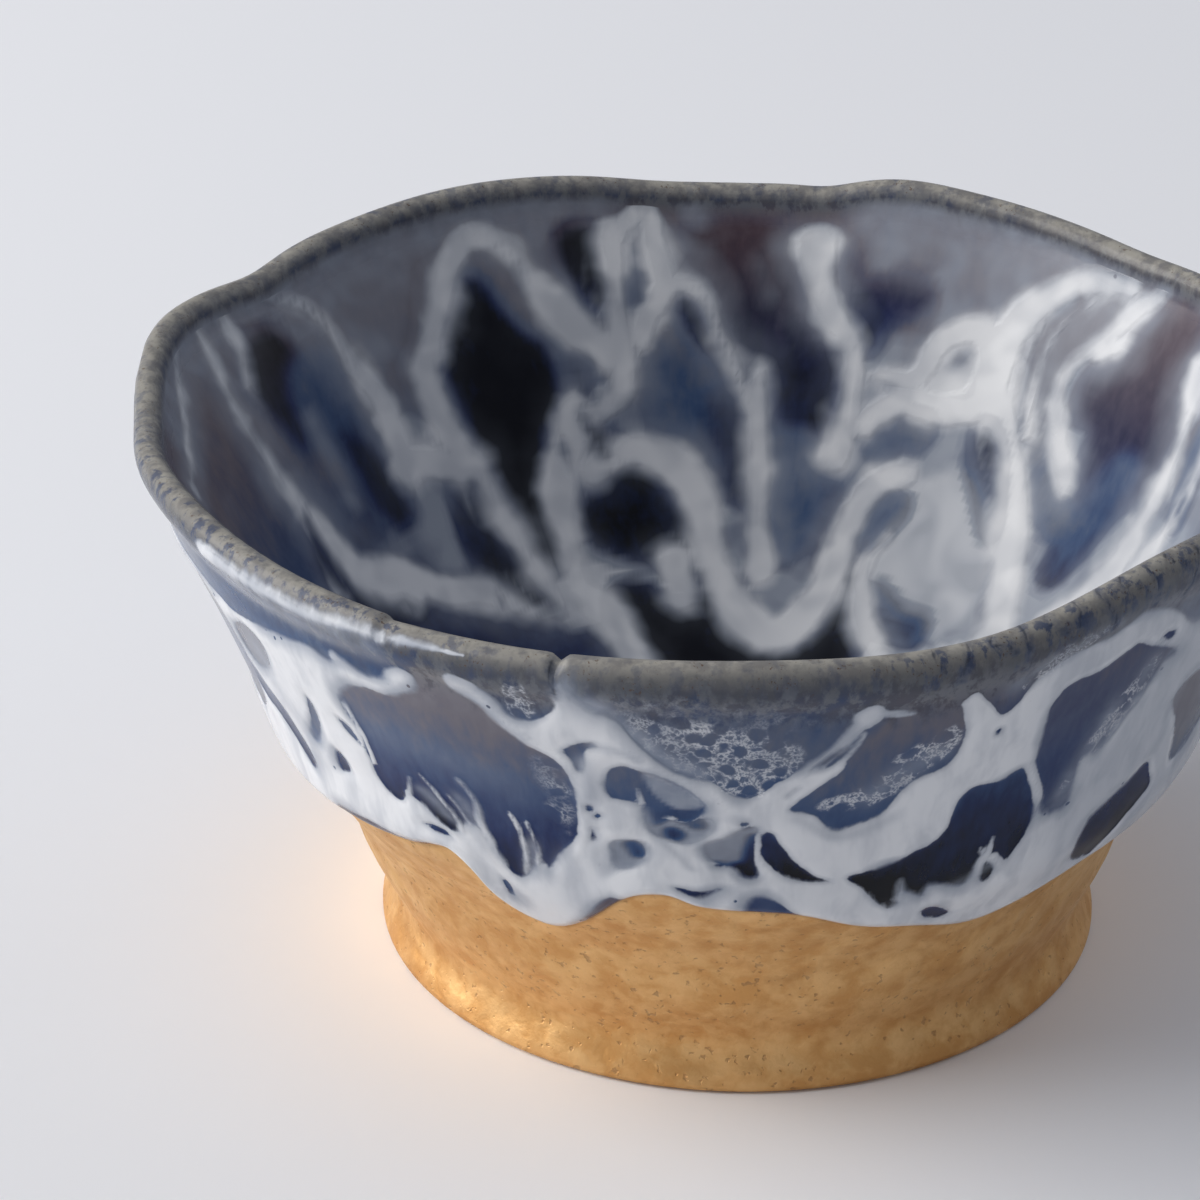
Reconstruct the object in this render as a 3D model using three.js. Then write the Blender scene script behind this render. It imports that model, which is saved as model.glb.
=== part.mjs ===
// A small sake cup: a hand-shaped bowl that flares from a wide, low foot, with a lip that rises and falls.
// The lower wall and foot are gilded, and thick glaze covers the rest down to a wavy edge of drips and bays.
// Sizes are in millimetres and +Z is up. The cup stands on the plane z = 0, and the origin is there, under
// the middle of the cup's outline as seen from above. The cup is one fired piece, so it is one mesh.

import * as THREE from 'three';
import { mergeVertices } from 'three/addons/utils/BufferGeometryUtils.js';

// Foot
const FOOT_RADIUS = 24.8;
const FOOT_EDGE_ROUND = 0.5;
const FOOT_RING_WIDTH = 4.4;
const FOOT_RECESS_DEPTH = 2.6;
const FOOT_RECESS_SLOPE = 0.9;

// Outer wall: height above the table and radius, from the foot through the waist and the belly to the lip
const OUTER_WALL = [
  [0, 24.8],
  [1.3, 24.5],
  [3.4, 23.9],
  [5.4, 24.8],
  [8, 26],
  [11, 27],
  [14, 28.8],
  [17.6, 31.3],
  [22.5, 33.2],
  [27.5, 35.1],
  [32.5, 37.1],
  [38.5, 39.1],
];

// Lip
const LIP_HEIGHT = 38.4;
const LIP_THICKNESS = 1.9;

// Inner wall: radius and height, from under the lip to the middle of the bowl's floor
const INNER_WALL = [
  [37.2, 37.4],
  [34.3, 31],
  [31.3, 24],
  [27.6, 17.4],
  [22, 11.6],
  [15, 8.2],
  [7, 6.9],
  [0, 6.6],
];

// The lip isn't level or round. These are its height and its radius at sixteen places, evenly spaced from +X
// towards +Y. The far side is at the fifth place, and the side towards the viewer is at the thirteenth.
const LIP_HEIGHTS = [39.1, 38.7, 38.1, 38.6, 37.5, 38.5, 38.2, 37.4, 36.9, 37.8, 37.8, 38.1, 38.6, 38.5, 40.3, 39.6];
const LIP_RADII = [38.5, 38.8, 38.9, 39.2, 39.6, 40.4, 41.3, 41.7, 40.8, 39.2, 38.3, 38.2, 37.9, 37.3, 36.9, 37.6];

// Glaze edge: angle in degrees from +X and height above the table. Low places are drips, and high ones are
// the bays between them. The side towards the viewer is at -90.
const GLAZE_EDGE_MEAN = 15;
const GLAZE_EDGE = [
  [-180, 15],
  [-160, 16.4],
  [-141, 17.6],
  [-130, 18.6],
  [-124, 19.5],
  [-121, 18.1],
  [-118.5, 15.2],
  [-115, 13.9],
  [-112, 14],
  [-108, 15.6],
  [-102.5, 18.7],
  [-98, 19.4],
  [-94, 18.5],
  [-83, 17.7],
  [-75, 15.7],
  [-68, 14.6],
  [-59, 13.1],
  [-51, 13.4],
  [-40, 14.6],
  [-14, 15.4],
  [8, 16.6],
  [28, 13.6],
  [50, 16.8],
  [72, 14.2],
  [95, 17.4],
  [118, 13.8],
  [140, 16.6],
  [160, 14.4],
];
const GLAZE_ROLL = 0.7;
const GLAZE_ROLL_FADE = 3.5;
const GLAZE_SHIFT_BOTTOM = 4.5;
const GLAZE_SHIFT_TOP = 28;

// Fineness of the facets
const COLUMNS = 108;
const LIP_STEPS = 5;
const INNER_STEPS = 11;
const GOLD_ROWS = [1.3, 2.3, 3.4, 4.6, 6, 8, 10, 12, 13.7, 14.7];
const GLAZE_ROWS = [15.3, 15.9, 17.2, 19.4, 22, 25, 28, 31, 34, 36.2];
const WELD_DISTANCE = 1e-4;

const GLAZE_COLOUR = 0x5b6b86;
const GLAZE_ROUGHNESS = 0.15;

// A smooth curve through stations of [place, value], in rising order of place.
function curveThrough(stations) {
  const places = stations.map(([place]) => place);
  const values = stations.map(([, value]) => value);
  const curve = new THREE.CubicInterpolant(places, values, 1);
  return (place) => curve.evaluate(place)[0];
}

// A smooth closed curve around the cup through stations of [angle in degrees, value], in rising order of angle.
function curveAround(stations) {
  const before = stations.slice(-2).map(([angle, value]) => [angle - 360, value]);
  const after = stations.slice(0, 2).map(([angle, value]) => [angle + 360, value]);
  const lap = curveThrough([...before, ...stations, ...after]);
  const start = stations[0][0];
  return (angle) => lap(start + THREE.MathUtils.euclideanModulo(angle - start, 360));
}

// Values that are evenly spaced around the cup, as stations.
function evenStations(values) {
  return values.map((value, index) => [(index * 360) / values.length, value]);
}

function mean(values) {
  return values.reduce((sum, value) => sum + value, 0) / values.length;
}

const wallRadius = curveThrough(OUTER_WALL);
const lipHeight = curveAround(evenStations(LIP_HEIGHTS));
const lipRadius = curveAround(evenStations(LIP_RADII));
const glazeEdge = curveAround(GLAZE_EDGE);
const meanLipHeight = mean(LIP_HEIGHTS);
const meanLipRadius = mean(LIP_RADII);

// How far the glaze stands out from the wall: a roll at its edge that fades upwards, and nothing on the gold.
function glazeStandOut(height) {
  const above = height - GLAZE_EDGE_MEAN;
  return above < 0 ? 0 : GLAZE_ROLL * Math.exp(-above / GLAZE_ROLL_FADE) * Math.min(1, 0.5 + above);
}

// The underside: a shallow recess, its sloping side, and the flat ring that the cup stands on.
function footProfile() {
  const ringInner = FOOT_RADIUS - FOOT_RING_WIDTH;
  const recessRadius = ringInner - FOOT_RECESS_SLOPE;
  return [
    new THREE.Vector2(0, FOOT_RECESS_DEPTH),
    new THREE.Vector2(recessRadius / 2, FOOT_RECESS_DEPTH),
    new THREE.Vector2(recessRadius, FOOT_RECESS_DEPTH),
    new THREE.Vector2(ringInner, 0),
    new THREE.Vector2(FOOT_RADIUS - FOOT_EDGE_ROUND, 0),
    new THREE.Vector2(FOOT_RADIUS - FOOT_EDGE_ROUND / 4, FOOT_EDGE_ROUND / 2),
  ];
}

function outerProfile() {
  const gold = GOLD_ROWS.map((height) => new THREE.Vector2(wallRadius(height), height));
  const glaze = GLAZE_ROWS.map((height) => new THREE.Vector2(wallRadius(height) + glazeStandOut(height), height));
  return [...gold, ...glaze];
}

// The lip is half round, from the outer wall over the top to the inner wall.
function lipProfile() {
  const round = LIP_THICKNESS / 2;
  const middle = new THREE.Vector2(wallRadius(LIP_HEIGHT) - round, LIP_HEIGHT - round);
  return Array.from({ length: LIP_STEPS + 1 }, (_, step) => {
    const turn = (Math.PI * step) / LIP_STEPS;
    return new THREE.Vector2(middle.x + round * Math.cos(turn), middle.y + round * Math.sin(turn));
  });
}

function innerProfile() {
  const curve = new THREE.SplineCurve(INNER_WALL.map(([radius, height]) => new THREE.Vector2(radius, height)));
  return curve.getSpacedPoints(INNER_STEPS).slice(1);
}

// Slides the rows near the glaze edge up or down, so that the edge's row follows its drips and bays.
function glazeShift(angle, height) {
  const rise = height < GLAZE_EDGE_MEAN
    ? THREE.MathUtils.smoothstep(height, GLAZE_SHIFT_BOTTOM, GLAZE_EDGE_MEAN)
    : 1 - THREE.MathUtils.smoothstep(height, GLAZE_EDGE_MEAN, GLAZE_SHIFT_TOP);
  return (glazeEdge(angle) - GLAZE_EDGE_MEAN) * rise;
}

// Turns the round, level bowl into the hand-shaped one: the glaze edge waves, and the lip rises, falls, swells
// and pulls in. The foot's underside stays flat and round.
function shapeByHand(geometry) {
  const position = geometry.attributes.position;
  for (let index = 0; index < position.count; index += 1) {
    let radius = Math.hypot(position.getX(index), position.getY(index));
    let height = position.getZ(index);
    const turn = Math.atan2(position.getY(index), position.getX(index));
    const angle = THREE.MathUtils.radToDeg(turn);
    const isOuter = height < LIP_HEIGHT - LIP_THICKNESS && radius > wallRadius(height) - LIP_THICKNESS / 2;
    if (isOuter) {
      const shifted = height + glazeShift(angle, height);
      radius += wallRadius(shifted) - wallRadius(height);
      height = shifted;
    }
    const share = Math.max(0, height) / LIP_HEIGHT;
    const away = Math.min(1, radius / FOOT_RADIUS);
    radius += (lipRadius(angle) - meanLipRadius) * share ** 1.5 * away;
    height += (lipHeight(angle) - meanLipHeight) * share ** 2 * away;
    position.setXYZ(index, radius * Math.cos(turn), radius * Math.sin(turn), height);
  }
}

// Puts the origin under the middle of the outline as seen from above.
function centreOverOrigin(geometry) {
  geometry.computeBoundingBox();
  const middle = geometry.boundingBox.getCenter(new THREE.Vector3());
  geometry.translate(-middle.x, -middle.y, 0);
}

function cupGeometry() {
  const profile = [...footProfile(), ...outerProfile(), ...lipProfile(), ...innerProfile()];
  const turned = new THREE.LatheGeometry(profile, COLUMNS);
  turned.rotateX(Math.PI / 2);
  turned.deleteAttribute('normal');
  turned.deleteAttribute('uv');
  const geometry = mergeVertices(turned, WELD_DISTANCE);
  shapeByHand(geometry);
  centreOverOrigin(geometry);
  geometry.computeVertexNormals();
  return geometry;
}

const cup = new THREE.Mesh(
  cupGeometry(),
  new THREE.MeshStandardMaterial({ color: GLAZE_COLOUR, roughness: GLAZE_ROUGHNESS, metalness: 0 }),
);
cup.name = 'cup';

const object = new THREE.Group();
object.add(cup);

export default object;
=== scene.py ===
"""A small sake cup with a gilded foot and a flowing white glaze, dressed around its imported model.

Shapes are worked out in millimetres, on a profile that is spun and then waved as if by hand. The finished
piece is in metres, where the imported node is. The pattern of the glaze is painted on the wall as fields, one
number at each point, and the glaze's material turns the fields into colour, gloss and relief.
"""

import logging
import math
from collections.abc import Callable, Sequence
from dataclasses import dataclass, field, replace
from enum import Enum
from typing import Any

import bpy
import numpy as np
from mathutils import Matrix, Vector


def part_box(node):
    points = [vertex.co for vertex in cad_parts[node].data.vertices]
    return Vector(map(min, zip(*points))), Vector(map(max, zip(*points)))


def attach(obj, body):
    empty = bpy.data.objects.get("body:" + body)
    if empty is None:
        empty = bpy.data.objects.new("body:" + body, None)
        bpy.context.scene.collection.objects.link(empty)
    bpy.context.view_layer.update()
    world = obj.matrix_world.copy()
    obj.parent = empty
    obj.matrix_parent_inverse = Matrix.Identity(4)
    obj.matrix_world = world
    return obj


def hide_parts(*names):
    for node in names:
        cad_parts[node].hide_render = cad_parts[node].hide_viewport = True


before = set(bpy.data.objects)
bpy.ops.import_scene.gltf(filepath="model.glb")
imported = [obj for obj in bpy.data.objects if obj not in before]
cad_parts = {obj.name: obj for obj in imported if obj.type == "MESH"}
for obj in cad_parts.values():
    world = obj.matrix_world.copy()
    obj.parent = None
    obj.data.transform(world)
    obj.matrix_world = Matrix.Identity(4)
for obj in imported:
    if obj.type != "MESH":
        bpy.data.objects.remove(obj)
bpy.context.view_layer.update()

LOG = logging.getLogger("cup")
MM = 0.001

# In millimetres: how far inside the lip's crest the glaze starts and ends its turn into the bowl's own glaze,
# and how far down the outer wall the lip's colours reach
TURN_START = 1.5
TURN_END = 5.0
LIP_REACH = 8.0

Point = tuple[float, float]
Path = tuple[Point, ...]
Colour = tuple[int, int, int]
Spot = tuple[float, float, float]
Curve = Callable[[np.ndarray], np.ndarray]
Copies = tuple[tuple[float, int, float, Point], ...]


class Layer(Enum):
    """The fields that are painted on the wall, under the names that the glaze's material reads."""

    FLOW = "flow"
    DEPTH = "depth"
    WARMTH = "warmth"
    LOW = "low"
    LACE = "lace"
    # Thin milky glaze over the dark ground; on the outer wall's white it greys the white, partly as painted
    # shade.
    VEIL = "veil"
    CRACK = "crack"
    RIM = "rim"
    EDGE = "edge"


class Side(Enum):
    """The stretches of the glaze that have a material each, under the materials' names."""

    LOWER = "lower_glaze"
    OUTER = "flowing_glaze"
    TURNING = "turning_glaze"
    DEEP = "pooled_glaze"


class Zone(Enum):
    """The stretches of the cup's profile, in order from under the foot to the middle of the bowl."""

    UNDERSIDE = 0
    GILT = 1
    OUTSIDE = 2
    LIP = 3
    INSIDE = 4


def curve_through(stations: Sequence[Point]) -> Curve:
    """A smooth curve through stations that are in rising order of place.

    Args:
        stations: Pairs of a place and the value there.

    Returns:
        A function from an array of places to an array of values.
    """
    place, value = np.array(stations, float).T
    chord = np.diff(value) / np.diff(place)
    slope = np.empty_like(value)
    slope[1:-1] = (value[2:] - value[:-2]) / (place[2:] - place[:-2])
    slope[0] = 1.5 * chord[0] - 0.5 * slope[1]
    slope[-1] = 1.5 * chord[-1] - 0.5 * slope[-2]

    def curve(where: np.ndarray) -> np.ndarray:
        """The value at each place, held at the ends.

        Args:
            where: The places.

        Returns:
            The values.
        """
        at = np.clip(where, place[0], place[-1])
        index = np.clip(np.searchsorted(place, at) - 1, 0, len(place) - 2)
        step = place[index + 1] - place[index]
        t = (at - place[index]) / step
        start = value[index] * (1 + 2 * t) * (1 - t) ** 2 + slope[index] * step * t * (1 - t) ** 2
        end = value[index + 1] * t**2 * (3 - 2 * t) + slope[index + 1] * step * t**2 * (t - 1)
        return start + end

    return curve


def curve_around(stations: Sequence[Point]) -> Curve:
    """A smooth closed curve around the cup.

    Args:
        stations: Pairs of an angle in degrees and the value there, in rising order of angle.

    Returns:
        A function from an array of angles to an array of values.
    """
    before = [(angle - 360, value) for angle, value in stations[-2:]]
    after = [(angle + 360, value) for angle, value in stations[:2]]
    lap = curve_through([*before, *stations, *after])
    start = stations[0][0]
    return lambda angle: lap(start + (angle - start) % 360)


def evenly(values: Sequence[float]) -> list[Point]:
    """Values that are evenly spaced around the cup, as stations."""
    return [(index * 360 / len(values), value) for index, value in enumerate(values)]


def smooth_step(value: np.ndarray, low: float, high: float) -> np.ndarray:
    """Zero below low, one above high, and a soft rise between them."""
    t = np.clip((value - low) / (high - low), 0, 1)
    return t * t * (3 - 2 * t)


def smooth_path(points: Path, closed: bool, steps: int = 6) -> np.ndarray:
    """A smooth line through a few points.

    Args:
        points: The points that the line passes through.
        closed: Whether the line comes back to its first point.
        steps: How many short straight pieces there are between two points.

    Returns:
        The line's own points, one row each.
    """
    knots = np.array(points, float)
    if closed:
        knots = np.vstack([knots[-1], knots, knots[:2]])
    else:
        knots = np.vstack([2 * knots[0] - knots[1], knots, 2 * knots[-1] - knots[-2]])
    t = np.linspace(0, 1, steps, endpoint=False)[:, None]
    spans = [
        0.5 * (2 * b + (c - a) * t + (2 * a - 5 * b + 4 * c - d) * t**2 + (3 * b - a - 3 * c + d) * t**3)
        for a, b, c, d in zip(knots[:-3], knots[1:-2], knots[2:-1], knots[3:])
    ]
    return np.vstack([*spans, knots[-2]])


@dataclass
class Canvas:
    """One side of the wall laid out flat, for painting on.

    Attributes:
        angle: The angle of each point around the cup, in degrees.
        along: Its place up or down the wall, in millimetres.
        scale: Millimetres to a degree there.
        layers: The painted fields.
        blur: How far a pool's colour reaches past its outline, in millimetres.
        hanging: Whether places are distances down from the lip, and not heights.
    """

    angle: np.ndarray
    along: np.ndarray
    scale: np.ndarray
    layers: dict[Layer, np.ndarray]
    blur: float
    hanging: bool

    def turned(self, centre: float) -> np.ndarray:
        """Each point's angle, counted from -180 to 180 degrees around a centre, and put back."""
        return (self.angle - centre + 180) % 360 - 180 + centre

    def near(self, points: Path, reach: float) -> np.ndarray:
        """Finds the part of the wall around a shape.

        Args:
            points: The shape's points.
            reach: How far past the shape's own box to look, in millimetres.

        Returns:
            The indices of the wall's points there.
        """
        angles, places = zip(*points)
        centre = (min(angles) + max(angles)) / 2
        across = np.abs(self.turned(centre) - centre) - (max(angles) - min(angles)) / 2
        past = np.abs(self.along - (min(places) + max(places)) / 2) - (max(places) - min(places)) / 2
        return np.nonzero((across * self.scale < reach) & (past < reach))[0]

    def gaps(self, line: np.ndarray, at: np.ndarray) -> tuple[np.ndarray, np.ndarray]:
        """Measures how far points are from each straight piece of a line.

        Args:
            line: The line's points.
            at: The indices of the wall's points to measure from.

        Returns:
            The distances in millimetres, and how far along the whole line the nearest place is, from 0 to 1.
        """
        scale = self.scale[at][:, None]
        start, end = line[:-1], line[1:]
        from_start = (self.turned(line[:, 0].mean())[at][:, None] - start[:, 0]) * scale
        up = self.along[at][:, None] - start[:, 1]
        across = (end - start)[:, 0] * scale
        rise = (end - start)[:, 1]
        t = np.clip((from_start * across + up * rise) / (across**2 + rise**2), 0, 1)
        share = (np.arange(len(start)) + t) / len(start)
        return np.hypot(from_start - t * across, up - t * rise), share

    def signed(self, outline: Path, at: np.ndarray) -> np.ndarray:
        """Measures how far points are inside a smooth closed outline.

        Args:
            outline: The outline's points.
            at: The indices of the wall's points to measure.

        Returns:
            The distances in millimetres, which are below zero outside the outline.
        """
        line = smooth_path(outline, closed=True)
        x = self.turned(line[:, 0].mean())[at][:, None]
        y = self.along[at][:, None]
        (x0, y0), (x1, y1) = line[:-1].T, line[1:].T
        level = np.where(y1 == y0, 1, y1 - y0)
        crossed = ((y0 > y) != (y1 > y)) & (x < x0 + (y - y0) * (x1 - x0) / level)
        gap = self.gaps(line, at)[0].min(axis=1)
        return np.where(crossed.sum(axis=1) % 2 == 1, gap, -gap)


@dataclass(frozen=True)
class Mark:
    """Something painted on the wall, placed by points of (degrees, millimetres).

    Attributes:
        points: Its outline or its line.
    """

    points: Path

    def centre(self) -> float:
        """The middle of the mark's reach around the cup."""
        angles = [angle for angle, _ in self.points]
        return (min(angles) + max(angles)) / 2

    def moved(self, turn: float, flip: int, drop: float) -> "Mark":
        """A copy of the mark elsewhere on the wall.

        Args:
            turn: The angle to add.
            flip: -1 to mirror the mark, or 1.
            drop: How far the copy lies below it.

        Returns:
            The copy.
        """
        points = tuple((turn + flip * angle, place - drop) for angle, place in self.points)
        return replace(self, points=points)

    def paint(self, canvas: Canvas) -> None:
        """Paints the mark over what is there."""
        raise NotImplementedError


@dataclass(frozen=True)
class Pool(Mark):
    """A window in the white glaze, where the dark ground shows.

    Attributes:
        top: How deep its colour is at the top, from 0 for grey to 1 for near black.
        bottom: How deep it is at the bottom.
        warmth: Its colour at the top, where 0 is blue, 1 is mauve and 2 is brown. It is bluer at the bottom.
        veil: How thick a milky veil lies over it, from 0 to 1.
    """

    top: float = 0.3
    bottom: float = 0.8
    warmth: float = 0.3
    veil: float = 0.0

    def paint(self, canvas: Canvas) -> None:
        """Opens the white, and gives the ground there its depth of colour.

        Args:
            canvas: The side of the wall where the pool is.
        """
        at = canvas.near(self.points, 2.5)
        inside = canvas.signed(self.points, at)
        flow = canvas.layers[Layer.FLOW]
        flow[at] = np.minimum(flow[at], -inside)
        share = smooth_step(inside, -canvas.blur, canvas.blur / 2)
        places = [place for _, place in self.points]
        low = np.clip((max(places) - canvas.along[at]) / (max(places) - min(places)), 0, 1)
        low = 1 - low if canvas.hanging else low
        depth = self.top + (self.bottom - self.top) * low
        warmth = self.warmth * (1 - 0.7 * low**2)
        for layer, values in ((Layer.DEPTH, depth), (Layer.WARMTH, warmth), (Layer.LOW, low)):
            ground = canvas.layers[layer]
            ground[at] += (values - ground[at]) * share
        veil = canvas.layers[Layer.VEIL]
        veil[at] += (self.veil - veil[at]) * smooth_step(inside, -canvas.blur, -canvas.blur / 4)


@dataclass(frozen=True)
class Strand(Mark):
    """A ribbon or thread of white glaze.

    Attributes:
        width: Its width at its first point, in millimetres.
        end_width: Its width at its last point, where that differs.
        fray: How ragged its edges are, from 0 to 1.
    """

    width: float = 1.0
    end_width: float | None = None
    fray: float = 0.0

    def paint(self, canvas: Canvas) -> None:
        """Lays the ribbon over what is there.

        Args:
            canvas: The side of the wall where the ribbon is.
        """
        end = self.width if self.end_width is None else self.end_width
        at = canvas.near(self.points, max(self.width, end) / 2 + 3)
        gaps, share = canvas.gaps(smooth_path(self.points, closed=False), at)
        flow = canvas.layers[Layer.FLOW]
        half = (self.width + (end - self.width) * share) / 2
        flow[at] = np.maximum(flow[at], (half - gaps).max(axis=1))
        low = canvas.layers[Layer.LOW]
        low[at] += (self.fray - low[at]) * smooth_step(gaps.min(axis=1), 2.5, 1.2) * (self.fray > 0)


@dataclass(frozen=True)
class Patch(Mark):
    """An area where bubbles left a net of white, or where the white is a thin veil. A veil patch laid on the
    white of the outer wall greys it, as painted shade.

    Attributes:
        layer: The field that it adds to, which is the net, or the veil, which also carries painted shade.
        amount: How dense it is, from 0 to 1.
        fade: How far it takes to fade at its border, in millimetres.
    """

    layer: Layer = Layer.VEIL
    amount: float = 1.0
    fade: float = 1.2

    def paint(self, canvas: Canvas) -> None:
        """Adds its density.

        Args:
            canvas: The side of the wall where the patch is.
        """
        at = canvas.near(self.points, 2 * self.fade)
        share = smooth_step(canvas.signed(self.points, at), -self.fade / 2, self.fade / 2)
        density = canvas.layers[self.layer]
        density[at] = np.maximum(density[at], self.amount * share)


@dataclass(frozen=True)
class CloudAndShade(Mark):
    """A thin milky veil, thickest along its line. Over the white on the outer wall it greys the white
    instead, as painted shade.

    Attributes:
        width: How wide it is, in millimetres.
        amount: How thick it is, from 0 to 1.
    """

    width: float = 4.0
    amount: float = 0.5

    def paint(self, canvas: Canvas) -> None:
        """Adds the veil's thickness.

        Args:
            canvas: The side of the wall where the cloud is.
        """
        at = canvas.near(self.points, self.width)
        gaps, _ = canvas.gaps(smooth_path(self.points, closed=False), at)
        veil = canvas.layers[Layer.VEIL]
        veil[at] = np.maximum(veil[at], self.amount * np.exp(-((2 * gaps.min(axis=1) / self.width) ** 2)))


@dataclass(frozen=True)
class Crack(Mark):
    """A dark split in the glaze.

    Attributes:
        width: How wide it is, in millimetres.
    """

    width: float = 0.3

    def paint(self, canvas: Canvas) -> None:
        """Draws the split.

        Args:
            canvas: The side of the wall where the split is.
        """
        at = canvas.near(self.points, self.width + 1)
        gaps, _ = canvas.gaps(smooth_path(self.points, closed=False), at)
        crack = canvas.layers[Layer.CRACK]
        crack[at] = np.maximum(crack[at], self.width / 2 - gaps.min(axis=1))


def lip_cracks(first: int, last: int, spacing: int) -> tuple[Crack, ...]:
    """Splits the glaze on the lip's outer side, with an uneven lean and length for each split.

    Args:
        first: The angle of the first split.
        last: The angle that they stop short of.
        spacing: The angle between two.

    Returns:
        The splits.
    """
    leans = (0.4, -0.5, 1.0, 0.2, 1.2, -0.3, 0.8, 1.4, 0.3, 1.1, -0.6, 0.9, 0.5, 1.0)
    drops = (0.8, 1.6, 0.6, 2.2, 1.2, 0.7, 2.4, 1.0, 1.8, 0.8, 2.6, 1.1, 1.9, 0.9)
    crest, shoulder, start = 39.2, 38.4, 38.2
    cracks = []
    for at, lean, drop in zip(range(first, last, spacing), leans, drops):
        upper = ((at, crest), (at - 0.5 * lean, shoulder))
        lower = ((at + lean, start - drop / 2), (at + 1.6 * lean, start - drop))
        cracks.append(Crack(upper + lower, 0.16))
    return tuple(cracks)


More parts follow.
